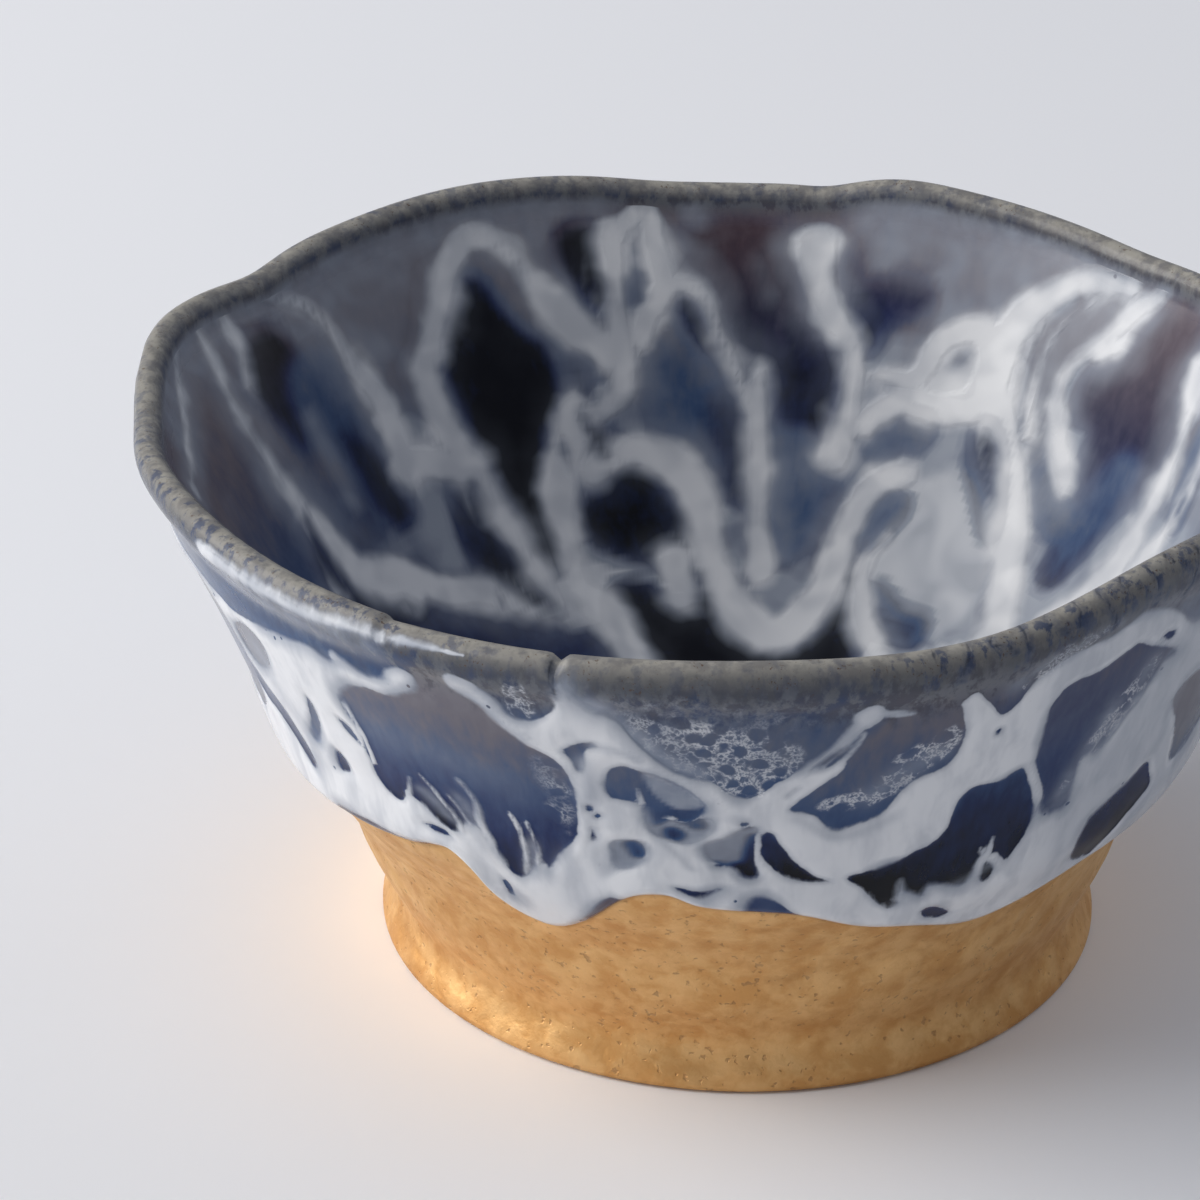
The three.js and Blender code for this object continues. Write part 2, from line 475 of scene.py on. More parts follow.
@dataclass
class GlazePattern:
    """The white network of the glaze, outside and inside, as marks laid one over the other.

    Outside, a point is (degrees, height up the unwaved wall), where the glaze's edge is at 15. Inside, it is
    (degrees, distance down the wall from the lip). The sides that face away repeat the marks of the side that
    faces the viewer, turned and mirrored.

    Attributes:
        border: Where the white ends below the lip, as stations of angle and height.
        outside: The marks of the outer wall, in the order they are laid.
        inside: The marks of the inner wall, in the order they are laid.
        outside_copies: How the marks are repeated on the back: turn, flip, drop, and the angles they fill.
        inside_copies: The same for the near side of the bowl.
    """

    border: Path = (
        (-180, 33.6), (-165, 32.8), (-151, 31.7), (-145.3, 32.3), (-140.5, 32.9), (-136, 33.5),
        (-133, 33.2), (-130.6, 33.8), (-128.6, 33.0), (-126.5, 32.8), (-123, 33.6), (-118, 34.6),
        (-114, 34.9), (-112.2, 33.6), (-109.8, 33.3), (-108, 34), (-106.9, 35), (-106.2, 36.4),
        (-105.5, 36), (-104.8, 35.5), (-103.4, 35.1), (-102.1, 34.5), (-101, 34), (-100.1, 33),
        (-99.1, 32.1), (-97.7, 31.1), (-96.2, 30.3), (-94.6, 29.8), (-92.6, 29.4), (-91.4, 28.7),
        (-90.1, 28.1), (-88.7, 28), (-87.5, 28.4), (-86.6, 29.1), (-85.1, 29.6), (-83.9, 30), (-79.5, 31),
        (-74, 33), (-70.5, 34), (-69.2, 34.3), (-67.7, 35.1), (-65.9, 33.9), (-64, 32.5), (-62.3, 33.3),
        (-61.1, 34.3), (-59.6, 34.9), (-57.5, 35.4), (-52.3, 35.2), (-50.5, 35.6), (-48.7, 36), (-44.6, 35),
        (-41.8, 34), (-38.9, 32.8), (-33, 32.8), (-20, 33.9), (0, 32.6), (22, 34.4), (45, 33), (70, 34.3),
        (96, 32.7), (120, 34.6), (142, 33.2), (160, 34.4),
    )
    outside: tuple[Mark, ...] = (
        # Painted shade: this veil greys the white on the right of the front, which faces away from the key
        # light.
        Patch(((-56, 34), (-30, 34), (-8, 30), (-8, 14), (-40, 14), (-52, 20)), Layer.VEIL, 0.62, 8),
        Pool(((-131.3, 31.6), (-128.6, 32.1), (-126.1, 32.4), (-124, 32.9), (-121.7, 35), (-119.6, 36),
              (-117.5, 35.6), (-114.7, 33.9), (-112.1, 32.2), (-109.3, 31.1), (-107.5, 30.3),
              (-106.6, 27.7), (-106.6, 24.7), (-107.2, 23.2), (-109.7, 21.7), (-110.8, 20.8),
              (-111.5, 21.1), (-113, 20.7), (-114.8, 19.7), (-116.6, 20.2), (-118.9, 22.1), (-120.4, 21.2),
              (-121.9, 18.4), (-124, 17.9), (-127.3, 20.7), (-128.4, 21.6), (-128.8, 20.4), (-129.8, 19.8),
              (-131.2, 20.5), (-132.7, 22.7), (-133.1, 27.4), (-134, 28.6), (-133.6, 30)), 0.1, 1.0, 1.0),
        Pool(((-154, 37), (-140, 37), (-126, 37), (-122, 36), (-123, 34.4), (-126, 34), (-129, 34),
              (-134, 34), (-141, 33.4), (-147, 32.8), (-154, 32.6)), 0.5, 0.62, 0.0),
        Pool(((-100.4, 37.5), (-100.2, 34.5), (-98, 32.4), (-95, 30.8), (-91.5, 29.6), (-88.6, 29),
              (-86, 30.4), (-83, 31.4), (-80, 33.4), (-78, 36), (-78, 37.5)), 0.4, 0.45, 0.5),
        Pool(((-84.7, 27), (-82.9, 28.4), (-81.1, 29.4), (-79.9, 30.3), (-79, 31.5), (-78.1, 32.5),
              (-76.6, 33.4), (-74.9, 35), (-72.4, 35.6), (-69.6, 35), (-68.2, 32.8), (-67.9, 31.3),
              (-68.9, 29.4), (-72.1, 28.7), (-73.4, 27.9), (-75.4, 25.9), (-78.2, 25), (-79.4, 24.6),
              (-80.6, 24.9), (-82.1, 26.2), (-83.6, 26.6)), 0.32, 0.58, 1.0),
        Pool(((-109.6, 36.6), (-107.8, 37.6), (-107, 36.6), (-107, 35.6), (-108, 35), (-109.6, 34.4)), 0.35,
              0.4, 0.9),
        Pool(((-107, 31.1), (-106, 31.6), (-104.9, 32), (-103.7, 32), (-104.8, 31.4), (-105.2, 30.5),
              (-105.7, 29.6), (-106.6, 30.6)), 0.4, 0.45, 0.9),
        Pool(((-99.4, 25.8), (-97.8, 25.8), (-95.6, 25.4), (-93.6, 26), (-92.6, 25), (-94.2, 23.4),
              (-96.6, 22.6), (-98.6, 23.6)), 0.2, 0.25, 0.2, 0.75),
        Pool(((-103.1, 29.2), (-102.7, 29.9), (-101.5, 30.4), (-100.3, 30.3), (-99.2, 29.9), (-96, 29),
              (-93.6, 27.6), (-93.4, 26.7), (-94.4, 25.9), (-95.6, 25.5), (-96.8, 26.1), (-97.7, 25.5),
              (-98.6, 25), (-99.4, 26.2), (-100.1, 27.1), (-101.9, 27.4), (-102.8, 27.5), (-103.3, 28.3)),
              0.42, 0.62, 0.6),
        Patch(((-99.2, 29.9), (-97.6, 29.6), (-95, 28.6), (-93.4, 27.4), (-94.6, 26.9), (-96.2, 26.9),
               (-97.8, 27.7), (-98.8, 28.7)), Layer.VEIL, 0.85, 0.4),
        Strand(((-99.9, 28.4), (-99.6, 27.2)), 0.4),
        Pool(((-97.2, 24.1), (-96.5, 24.4), (-95.8, 23.8), (-96.4, 23), (-97.1, 23.2)), 0.7, 0.8, 0.3),
        Pool(((-94.5, 25.4), (-93.9, 25.4), (-93.9, 25), (-94.5, 25)), 0.5, 0.6, 0.3),
        Pool(((-103.2, 21.8), (-102, 22.2), (-100.2, 21.9), (-99.6, 20), (-101.2, 18.4), (-102.9, 19)), 0.2,
              0.3, 0.2, 0.7),
        Pool(((-101.6, 21.7), (-100.9, 21.9), (-100.3, 21), (-100.1, 19.8), (-100.7, 19.8), (-101.2, 20.8)),
              0.6, 0.75, 0.3),
        Pool(((-93.5, 22.2), (-92.9, 23.1), (-91.4, 23.7), (-90.1, 24.5), (-88.6, 25.1), (-88.1, 24.3),
              (-88.3, 22.9), (-88.4, 21.3), (-87.8, 19.2), (-88.4, 18.7), (-89.5, 18.9), (-90.5, 19.8),
              (-92.6, 20.5)), 0.2, 0.3, 0.6, 0.55),
        Pool(((-90.4, 20.1), (-89.3, 20.7), (-88.9, 22.2), (-88.4, 24), (-88.2, 22), (-87.9, 19.4),
              (-88.4, 18.8), (-89.5, 19)), 0.75, 1.05, 0.4),
        Pool(((-92.3, 20.2), (-91.6, 20.2), (-91.6, 19.8), (-92.3, 19.8)), 0.7, 0.8, 0.4),
        Pool(((-87.4, 24.3), (-86.6, 24.4), (-85.9, 23.5), (-85, 22.3), (-84.1, 21.1), (-83, 20.1),
              (-81.5, 19.3), (-79.9, 19.2), (-81.5, 18.8), (-83.2, 18.7), (-84.7, 18.9), (-86, 19.7),
              (-87.1, 20.9), (-87.7, 22.6)), 0.8, 1.0, 0.3),
        Pool(((-77.9, 19.7), (-76.3, 20.5), (-74.2, 21.1), (-71.9, 21.7), (-70.3, 22.3), (-68.6, 22.8),
              (-67.4, 23.8), (-67, 24.9), (-66.5, 26.1), (-65.3, 26.8), (-63.5, 26.8), (-61.7, 26.7),
              (-59.2, 27.1), (-58.1, 25.9), (-56.8, 24.5), (-56, 23.2), (-56, 22.1), (-57.5, 20.6),
              (-58.4, 20.4), (-59.8, 21.1), (-61, 20.9), (-62.2, 20.5), (-62.6, 19.6), (-64.1, 19.2),
              (-67, 19.3), (-68.2, 19.2), (-68.8, 18.4), (-71.2, 18.9), (-71.6, 17.8), (-72.7, 17.3),
              (-73.9, 17.8), (-76.3, 19)), 0.66, 1.12, 0.0),
        Pool(((-61.4, 19.6), (-61.4, 20.4), (-60.8, 20.8), (-59.6, 20.1), (-59.6, 19.4), (-60.5, 19.1)),
              1.0, 1.0, 0.0),
        Pool(((-57.8, 27.9), (-58.1, 31.2), (-57.5, 32.1), (-56.3, 32.8), (-52.3, 32.7), (-49, 33.1),
              (-47.5, 33.3), (-45.2, 32.5), (-42.2, 31.6), (-40.4, 30.9), (-42.1, 30.5), (-43.6, 28.8),
              (-45.5, 27.4), (-46.9, 26.3), (-48.4, 25.8), (-50.2, 25.9), (-51.1, 25.5), (-50.9, 22.9),
              (-52.1, 22.6), (-53.8, 22.7), (-55, 23.3), (-55.3, 24.4), (-57.7, 27)), 0.45, 0.75, 1.3),
        Pool(((-43.9, 32.8), (-43.1, 33), (-41.8, 32.7), (-42.4, 32.3)), 0.7, 0.8, 1.0),
        Pool(((-45.4, 16.8), (-46.4, 18.7), (-45.7, 20.1), (-44.5, 20.5), (-40, 21.2), (-37, 21.9),
              (-34.9, 20.4), (-34.1, 19.2), (-37.1, 18.1), (-39.2, 17.1), (-41.4, 16)), 0.8, 1.05, 1.0),
        Pool(((-32, 27.6), (-34.6, 27.4), (-35.9, 26.8), (-35.9, 25.9), (-33.4, 24.1), (-31.7, 22.2),
              (-30.4, 20.4), (-26.6, 20.4), (-23.2, 22.4), (-25.4, 26.2)), 0.1, 0.4, 1.0),
        Pool(((-21, 31), (-14, 32), (-9, 30), (-10, 25), (-14, 20), (-19, 19), (-21.5, 24)), 0.3, 0.95,
              0.8),
        Pool(((-107.8, 15.4), (-106.6, 15.8), (-105.1, 16), (-103.9, 15.8), (-102.8, 15), (-103.6, 14.6),
              (-107.4, 14.6)), 0.5, 0.7, 2.0),
        Pool(((-96.8, 16.2), (-94.9, 16.6), (-93.2, 16.9), (-91.6, 17.4), (-92.5, 16.8), (-93.8, 16.1),
              (-95.3, 16.1)), 0.8, 0.9, 0.6),
        Pool(((-89, 14.7), (-88.6, 16.3), (-87.5, 16.8), (-86.2, 16.6), (-84.4, 15.8), (-83, 14.8),
              (-85.9, 14.5)), 0.55, 0.7, 1.0),
        Pool(((-68, 16.8), (-67, 17.3), (-65, 17.1), (-63.7, 16.6), (-64.6, 16.2), (-66.7, 16.2)), 0.8,
              0.95, 0.5),
        Pool(((-136, 27.6), (-134.2, 27.1), (-133.2, 25.5), (-134.3, 25.8), (-135.5, 26.7)), 0.4, 0.5, 0.6),
        Pool(((-156, 26), (-152.8, 24.6), (-149.8, 23.4), (-147.8, 21.6), (-146.2, 19.4), (-146.4, 18.3),
              (-147.8, 18.6), (-149.8, 20.2), (-152, 21.6), (-155.6, 23)), 0.55, 0.85, 0.5),
        Pool(((-141, 27.8), (-140.2, 26.6), (-141, 24.3), (-142.8, 22.5), (-143.8, 23), (-142.6, 25)), 0.35,
              0.5, 0.5),
        Pool(((-139.2, 22.9), (-138, 22.3), (-137.6, 21), (-139.2, 20.3), (-139.9, 21.1)), 0.6, 0.8, 0.2),
        Pool(((-126.4, 17.3), (-124.6, 17.3), (-122.9, 17.1), (-124.1, 16.5), (-125.5, 16.7)), 0.7, 0.8,
              0.2),
        Pool(((-117.3, 18.6), (-116.6, 18.4), (-116.5, 17.6), (-117.2, 17.5)), 0.6, 0.7, 0.2),
        Pool(((-105.5, 26.4), (-104.9, 26.4), (-104.9, 25.9), (-105.5, 25.9)), 0.6, 0.7, 0.3),
        Pool(((-104.7, 25.7), (-104.2, 25.7), (-104.2, 25.3), (-104.7, 25.3)), 0.5, 0.6, 0.3),
        Pool(((-105.4, 24.1), (-104.9, 24), (-105, 22.9), (-105.5, 22.9)), 0.7, 0.8, 0.3),
        Pool(((-64.3, 31.4), (-63.7, 31.4), (-63.7, 30.9), (-64.3, 30.9)), 0.6, 0.7, 0.6),
        Pool(((-89.6, 25.6), (-89.1, 25.6), (-89.1, 25.3), (-89.6, 25.3)), 0.4, 0.5, 0.3),
        Pool(((-143, 15.7), (-138, 15.9), (-133, 15.6), (-127, 15.2), (-128, 14.7), (-142, 14.7)), 0.75,
              0.85, 1.6),
        Pool(((-150, 31), (-146.5, 30.4), (-148, 28), (-152, 27), (-154, 29)), 0.1, 0.2, 0.6),
        Pool(((-166, 30.6), (-159, 31), (-156, 27), (-157.5, 22), (-162, 19.6), (-167, 21.5), (-169, 26.5)),
              0.2, 0.95, 0.8),
        Strand(((-132, 33.7), (-130.6, 33.3), (-129, 32.8), (-127.4, 32.7), (-125.2, 33.1), (-123.6, 34)),
                1.0, 1.5),
        Strand(((-124.1, 33.8), (-123.1, 34.2)), 1.9),
        Strand(((-116.7, 35.3), (-115.5, 35)), 1.7),
        Strand(((-116.4, 35.2), (-114.1, 34.3), (-113, 33.3), (-111.5, 32.4), (-110, 31.6), (-108.2, 31),
                (-107, 30.3), (-106.4, 29.3), (-106, 28)), 1.5, 0.8),
        Strand(((-87.7, 27.8), (-85.3, 28.8), (-83.5, 30.1), (-81.7, 31.3), (-80.2, 32.4), (-79, 33.6),
                (-78.1, 34.3)), 1.0, 1.0),
        Strand(((-78.3, 34.3), (-77.7, 34.6)), 1.7),
        Strand(((-84.7, 27.9), (-82.6, 29.2), (-80.8, 30.4), (-79.4, 31.6), (-78.2, 33)), 0.9, 0.4),
        Strand(((-77.6, 34.6), (-75.8, 34.5), (-73.7, 34.3)), 0.7, 0.4),
        Pool(((-85.3, 28.1), (-84.6, 28.7), (-84.1, 28.9), (-84.6, 28.4)), 0.6, 0.6, 0.6),
        Pool(((-83, 30.4), (-81.5, 31.3), (-80, 32), (-81.4, 31)), 0.35, 0.4, 0.6),
        Strand(((-88, 25.4), (-87.9, 22.9), (-87.8, 20.9), (-87.1, 18.7)), 0.35, 0.5),
        Strand(((-58.9, 27.4), (-57.1, 25.6), (-55.7, 24.2), (-55.6, 22.8)), 0.7, 0.4),
        Strand(((-60.8, 22.3), (-61, 21.4), (-61.7, 20.8), (-61.9, 19.9), (-62.6, 19)), 0.25, 0.9),
        Strand(((-62.2, 21.7), (-61.1, 21.1)), 0.2, 0.4),
        Strand(((-71.6, 19.8), (-71.2, 18.3)), 0.2, 0.9),
        Strand(((-127, 24), (-127.7, 21.6), (-128.6, 19.6)), 0.15, 0.6),
        Strand(((-125.3, 25), (-124.1, 23.5), (-123.1, 21.9), (-121.7, 20.4), (-121.2, 19)), 0.2, 0.8),
        Strand(((-122, 23.5), (-120.8, 22.4), (-119.9, 21), (-119.4, 19.6)), 0.15, 0.7),
        Strand(((-119.9, 26.2), (-119.5, 25.9)), 0.5),
        Strand(((-119.8, 26.1), (-119, 25.4), (-118.4, 24.4), (-118.6, 22.9), (-118, 21.6), (-117.2, 20)),
                0.3, 0.9),
        Strand(((-114.5, 24.7), (-113.9, 23.8), (-113.6, 22.7), (-113.5, 21.6), (-114.1, 20.2)), 0.25, 0.5),
        Strand(((-112.7, 24.3), (-112.3, 23.3), (-112, 22.3), (-112.4, 20.6)), 0.25, 0.5),
        Strand(((-44.4, 28.4), (-46.4, 26.8), (-48.4, 25)), 0.2, 0.6),
        Strand(((-46.8, 28), (-48.6, 26.6), (-50.4, 25)), 0.15, 0.5),
        Strand(((-133.4, 29.4), (-132.4, 26.8), (-132.2, 24)), 0.5, 0.3),
        # This ribbon and the next one run along the left of the lip: partly a white roll of glaze, partly a
        # painted highlight on the side the key light falls on.
        Strand(((-150, 36.8), (-143.3, 37), (-138.5, 37.1), (-134, 37), (-129.1, 37.3), (-124.1, 37.6)),
                1.5, 1.1, 0.8),
        Strand(((-122.9, 37.8), (-119, 37.9), (-115.3, 37.8)), 0.9, 0.2),
        # Partly white glaze, partly a painted highlight on the right side of the lip's nick.
        Strand(((-106, 36.6), (-105.7, 35.8), (-105.2, 34.6)), 0.8, 2.4, 0.8),
        CloudAndShade(((-106, 38.4), (-105.6, 37), (-105, 35.6), (-103.2, 34.9)), 2.4, 0.9),
        CloudAndShade(((-103.4, 35.3), (-100.4, 33.6), (-97.4, 31.4), (-94, 30)), 1.6, 0.7),
        Patch(((-111.6, 36.2), (-110.6, 36.8), (-109.6, 36.4), (-109.3, 35), (-109.2, 34), (-110.6, 33.2),
               (-112, 34), (-112.1, 35.1)), Layer.LACE, 1.2, 0.5),
        Patch(((-111, 30.4), (-107.8, 29.6), (-106.4, 26.6), (-107.6, 23.4), (-109.6, 25), (-111, 28)),
               Layer.LACE, 0.5, 1.6),
        Patch(((-100.4, 34.2), (-94, 34.4), (-90, 33.6), (-86, 33), (-84, 31), (-88, 28), (-92, 28.6),
               (-97, 30.6)), Layer.LACE, 1.1, 1.4),
        Patch(((-102, 36), (-94, 36.6), (-84, 35.6), (-84, 33), (-92, 33), (-100, 33.6)), Layer.LACE, 0.45,
               1.6),
        Patch(((-77.5, 28.4), (-75.8, 29.6), (-74.2, 31.2), (-71.8, 31.7), (-69.2, 32.6), (-68.2, 31.6),
               (-69.8, 30), (-72.2, 29), (-74, 27.8), (-78, 26.6), (-82, 26.8), (-81, 27.8)), Layer.LACE,
               1.1, 1.0),
        Patch(((-62.6, 34.2), (-60, 36), (-57.4, 36.6), (-52, 36.4), (-57.6, 35), (-60.4, 34)), Layer.LACE,
               1.1, 0.8),
        Patch(((-52.6, 24), (-49.6, 27.6), (-46, 30.4), (-42.6, 31.6), (-43.4, 29), (-47, 26),
               (-50.4, 24.4)), Layer.LACE, 0.9, 1.2),
        # The next four clouds lie on the white and grey it: painted shade along the sides of ribbons and
        # drips.
        CloudAndShade(((-103.9, 31.9), (-101.6, 31.7), (-99.4, 31)), 0.7, 0.6),
        CloudAndShade(((-105, 30.2), (-104.6, 28.6), (-104.9, 27.4)), 1.4, 0.7),
        CloudAndShade(((-99.6, 26.4), (-98.9, 24), (-97.4, 21.8), (-95, 19.2)), 0.8, 0.6),
        CloudAndShade(((-108.4, 21), (-108.2, 18), (-107, 16.4)), 2.2, 0.5),
        CloudAndShade(((-105, 22), (-104.4, 18.6)), 1.6, 0.35),
        CloudAndShade(((-129, 28), (-122, 28), (-114, 27.4)), 3, 0.14),
        CloudAndShade(((-120.5, 23.8), (-119.4, 20.6)), 1.4, 0.5),
        CloudAndShade(((-125.5, 22.4), (-123, 19.6)), 1.4, 0.4),
        CloudAndShade(((-112.6, 22.4), (-113, 20.4)), 1.2, 0.4),
        CloudAndShade(((-84, 26), (-79.6, 24), (-74, 25.6)), 1.0, 0.5),
        CloudAndShade(((-48, 28.4), (-50, 25.6), (-52, 23.4)), 2.4, 0.5),
        CloudAndShade(((-44, 30), (-41, 27), (-44, 23)), 3.4, 0.5),
        CloudAndShade(((-60, 20.4), (-66, 18.8), (-72, 17.6)), 0.7, 0.3),
        CloudAndShade(((-38, 30), (-38, 25)), 3, 0.5),
        CloudAndShade(((-149, 29), (-144, 20)), 2.4, 0.5),
        CloudAndShade(((-147, 36.4), (-136, 36.4), (-126, 36.8)), 2.8, 0.62),
        CloudAndShade(((-41, 30.4), (-45, 27.6), (-49, 25)), 1.8, 0.7),
        CloudAndShade(((-39, 32.4), (-42, 29.6), (-45, 25.6)), 0.5, 0.5),
        CloudAndShade(((-77, 27.6), (-74, 29.2), (-70.4, 30.6)), 1.8, 0.42),
        CloudAndShade(((-63, 34.6), (-58.6, 36), (-52, 36.2)), 1.6, 0.4),
        Crack(((-106.9, 38.6), (-106.8, 37.4), (-106.7, 36.2)), 0.34),
        *lip_cracks(-72, -30, 3),
    )
    inside: tuple[Mark, ...] = (
        Patch(((176, 0), (178, 4), (150, 4.5), (143, 9), (134, 8.4), (128, 3), (112, 4.4), (106, 0),
               (140, -2)), Layer.VEIL, 0.6, 3),
        Patch(((143, 12), (138.2, 12), (124.4, 16.4), (117.8, 21.6), (113, 26.5), (116, 31.5), (130.8, 29),
               (142, 24), (146, 18)), Layer.VEIL, 1.0, 2.5),
        Patch(((150, 21), (140, 23), (133, 29), (126, 31), (114, 31), (118, 26), (124, 28), (130, 20),
               (138, 17)), Layer.VEIL, 0.8, 2.5),
        Patch(((109, 8), (104, 8), (98, 8), (97, 12), (100, 14), (104, 18), (110, 17)), Layer.VEIL, 0.8,
               2.5),
        Patch(((117, 20), (108, 15), (98, 18), (92, 22), (86, 22), (80, 26), (74, 29), (86, 34), (98, 29),
               (112, 28)), Layer.VEIL, 0.9, 2.5),
        Patch(((77, 0), (74, 6), (70, 7), (66, 10), (54, 8), (42, 2), (50, -2)), Layer.VEIL, 0.62, 3),
        Patch(((77, 12.4), (67, 9.4), (58, 5.6), (48, 1.6), (40, 1.5), (49, 5.7), (53, 10.4), (46, 12.7),
               (34.8, 24.3), (43.4, 27.4), (54, 15), (64.6, 15.3), (76, 18.6)), Layer.VEIL, 1.05, 5),
        Patch(((68, 12.6), (61, 10), (56.6, 6.6), (52.6, 6.4), (53, 11), (50, 14.6), (41, 25), (46, 27),
               (55, 16), (61, 15.4), (67, 15.2)), Layer.VEIL, 1.7, 3.4),
        Patch(((72.4, 26.5), (63.8, 28.9), (52.6, 31), (41.8, 29.2), (40, 33), (56, 36), (72, 33)),
               Layer.VEIL, 1.4, 1.6),
        Patch(((122, 26), (110.8, 26.9), (97.6, 30), (96, 32.6), (112, 31.6), (126, 31)), Layer.VEIL, 1.3,
               1.4),
        Patch(((76, 11), (66, 9), (54, 5), (40, 1), (20, -1), (12, 10), (14, 30), (40, 36), (60, 36),
               (68, 30), (76, 20)), Layer.VEIL, 1.05, 2),
        Strand(((159.8, 0), (160.2, 3.1), (161.6, 6.7), (160.8, 10.9), (159.6, 14.1), (157.8, 17.4),
                (156, 20.7), (152.8, 22.6), (148, 24)), 0.8, 1.8),
        Strand(((160.4, 14.4), (161, 18.2), (162.8, 20.6)), 0.8, 0.6),
        Strand(((164, 0.2), (172.2, 3), (184.2, 4.6)), 0.7),
        Strand(((155.6, 1.1), (155.6, 3), (157.4, 5.6)), 1.2, 0.7),
        Strand(((149.2, 0.3), (145, 2.2), (142.8, 5), (142, 7.8), (139.6, 11), (139.6, 14), (139.8, 17)),
                1.0, 1.8),
        Strand(((140, 15.8), (135.4, 16.6), (129.8, 17.9)), 2.2, 2.6),
        Strand(((130.6, 8.6), (132.4, 10.8), (131.8, 14.6), (129.6, 18.3), (127.4, 22), (125.4, 26),
                (124.6, 29)), 1.5, 2.4),
        Strand(((130.6, 9.4), (128, 6.2), (124.8, 3.4), (121.4, 2.4), (118, 4), (115.6, 6.6), (112.4, 9),
                (107.4, 11.6)), 1.6, 2.8),
        Strand(((155.8, 20.8), (148.6, 22.4), (144, 24.9), (136.4, 26.2), (127.4, 28.6)), 1.6, 2.6),
        Strand(((118, 30), (119.4, 24), (117.4, 20.4), (114.6, 17.6), (113.6, 15.4), (109, 15)), 2.2, 2.2),
        Strand(((112, 20), (108, 19), (104, 18.8), (99, 20.6), (96, 24), (95.6, 27)), 2.0, 3.0),
        Strand(((105.6, 2.6), (106.2, 5.5), (106.4, 8.4), (106, 11.3), (106.4, 14.3), (110, 15.6)), 1.8,
                2.0),
        Strand(((105, 2.6), (101.4, 1), (100.8, 3.6), (100, 6.6), (102.4, 8.8)), 1.4, 1.8),
        Strand(((103.4, 10.6), (101.6, 7.7), (98.6, 6.4), (95.6, 7), (93.8, 9.4), (92, 11.9), (90, 14.1),
                (88.6, 16)), 1.6, 1.1),
        Strand(((88.4, 13), (88.2, 17), (87.8, 20.2), (87.8, 24), (86.8, 28)), 1.2, 2.0),
        Strand(((82, 3.2), (81.2, 6), (79.2, 8.6), (75.8, 11)), 3.0, 1.3),
        Strand(((75.8, 11), (75.8, 15), (77, 19)), 1.6, 2.4),
        Strand(((42.2, 1.1), (47.8, 2), (52.8, 4.5), (55.8, 7.6), (56.8, 10.3), (57.4, 13)), 1.8, 3.2),
        Strand(((56.2, 12.5), (51.8, 16.4), (47.8, 20.3), (44, 24.4), (38.6, 29)), 3.0, 3.4),
        Strand(((57.4, 13.2), (62.8, 14.4), (68.8, 14.4), (73.4, 16.4)), 2.6, 2.0),
        Strand(((37.6, 1), (40.4, 2.9), (42.8, 5.4), (46.4, 8.2), (46.8, 10.9), (44.6, 13.6), (41, 16.6)),
                1.3, 1.3),
        Strand(((26.8, 4.5), (25.8, 6.9), (24.4, 10.8), (24.8, 14.4), (25.2, 17.6), (27, 22), (31, 26)),
                1.4, 2.4),
        Strand(((20.5, 4), (18.6, 9), (19.4, 15), (23, 21)), 0.6, 1.4),
        Strand(((48, 2), (51.4, 5), (53, 8.8), (53.6, 12)), 0.3, 0.6),
        Strand(((44.6, 2.6), (48.8, 5.4), (50.4, 9.4), (49.8, 14)), 0.4, 0.9),
        Strand(((57, 10), (60, 8), (64.6, 9.4), (67.4, 12.6), (72.6, 12.8)), 2.4, 1.2),
        Pool(((124, 5.2), (122.2, 5.8), (120.6, 7.8), (118.6, 9.5), (116, 10.8), (115.4, 13), (116, 15),
              (118.4, 16.4), (119.8, 19.2), (120.4, 22.9), (122, 25.9), (123.8, 24.4), (124.4, 21.6),
              (126, 19.2), (127.4, 16.1), (129, 11.6), (129.4, 9.1), (126.4, 7)), 1.0, 1.1, 0.4),
        Pool(((153.6, 2.8), (150, 3.2), (149.4, 6), (151.4, 8.4), (153.8, 11), (155.6, 9), (157, 6.5),
              (156, 4.5)), 0.85, 1.0, 2.0),
        Pool(((150, 6), (144.6, 6.4), (144, 10), (146, 13), (150, 12), (152, 9)), 0.5, 0.6, 0.5),
        Pool(((147.2, 12), (144, 13), (142.4, 16.3), (142.8, 19), (144.8, 19), (146.6, 16.1)), 0.8, 0.98,
              0.1),
        Pool(((152.4, 16.7), (149.2, 17), (149.6, 19), (152.2, 19.6), (154, 18.5)), 0.7, 0.8, 0.6),
        Pool(((160.2, 14.5), (159, 17.4), (157.6, 20.8), (154.6, 23), (150.4, 23.7), (149.4, 25.5),
              (155.8, 25), (161.6, 21.8), (163.6, 19.1), (162.6, 16.9)), 0.8, 0.95, 0.8),
        Pool(((133.2, 19), (130, 18.8), (129.4, 20.9), (130.2, 23.8), (127.4, 27.2), (126.2, 28.9),
              (130.8, 28.2), (133.8, 25.2), (134.8, 22.9), (134.2, 20.6)), 0.85, 1.0, 0.1),
        Pool(((135.4, 27.2), (134.2, 27.4), (133.8, 29.6), (135.2, 29.8)), 0.7, 0.8, 0.3),
        Pool(((104.2, 4.9), (102.6, 4.2), (102, 5.9), (102.6, 7.9), (104.2, 7.9)), 0.55, 0.7, 0.4),
        Pool(((98.6, 7.9), (97, 7.5), (95.4, 9.5), (94, 11.4), (96, 11.2), (97.6, 9.4)), 0.9, 1.0, 0.4),
        Pool(((101.8, 11.9), (98.2, 11.2), (95, 12.8), (93, 15.1), (95, 17.5), (98.8, 18.3), (101.8, 16.9)),
              0.45, 0.6, 0.4),
        Pool(((94.4, 15.4), (91.4, 14.8), (89.8, 17.3), (89.4, 20.3), (90.2, 22.4), (92.4, 20.3)), 0.75,
              0.9, 0.1),
        Pool(((97, 3), (93, 1.5), (88.4, 1.4), (84.8, 2.7), (84.6, 5.2), (83.2, 8.3), (81, 10), (78, 11.2),
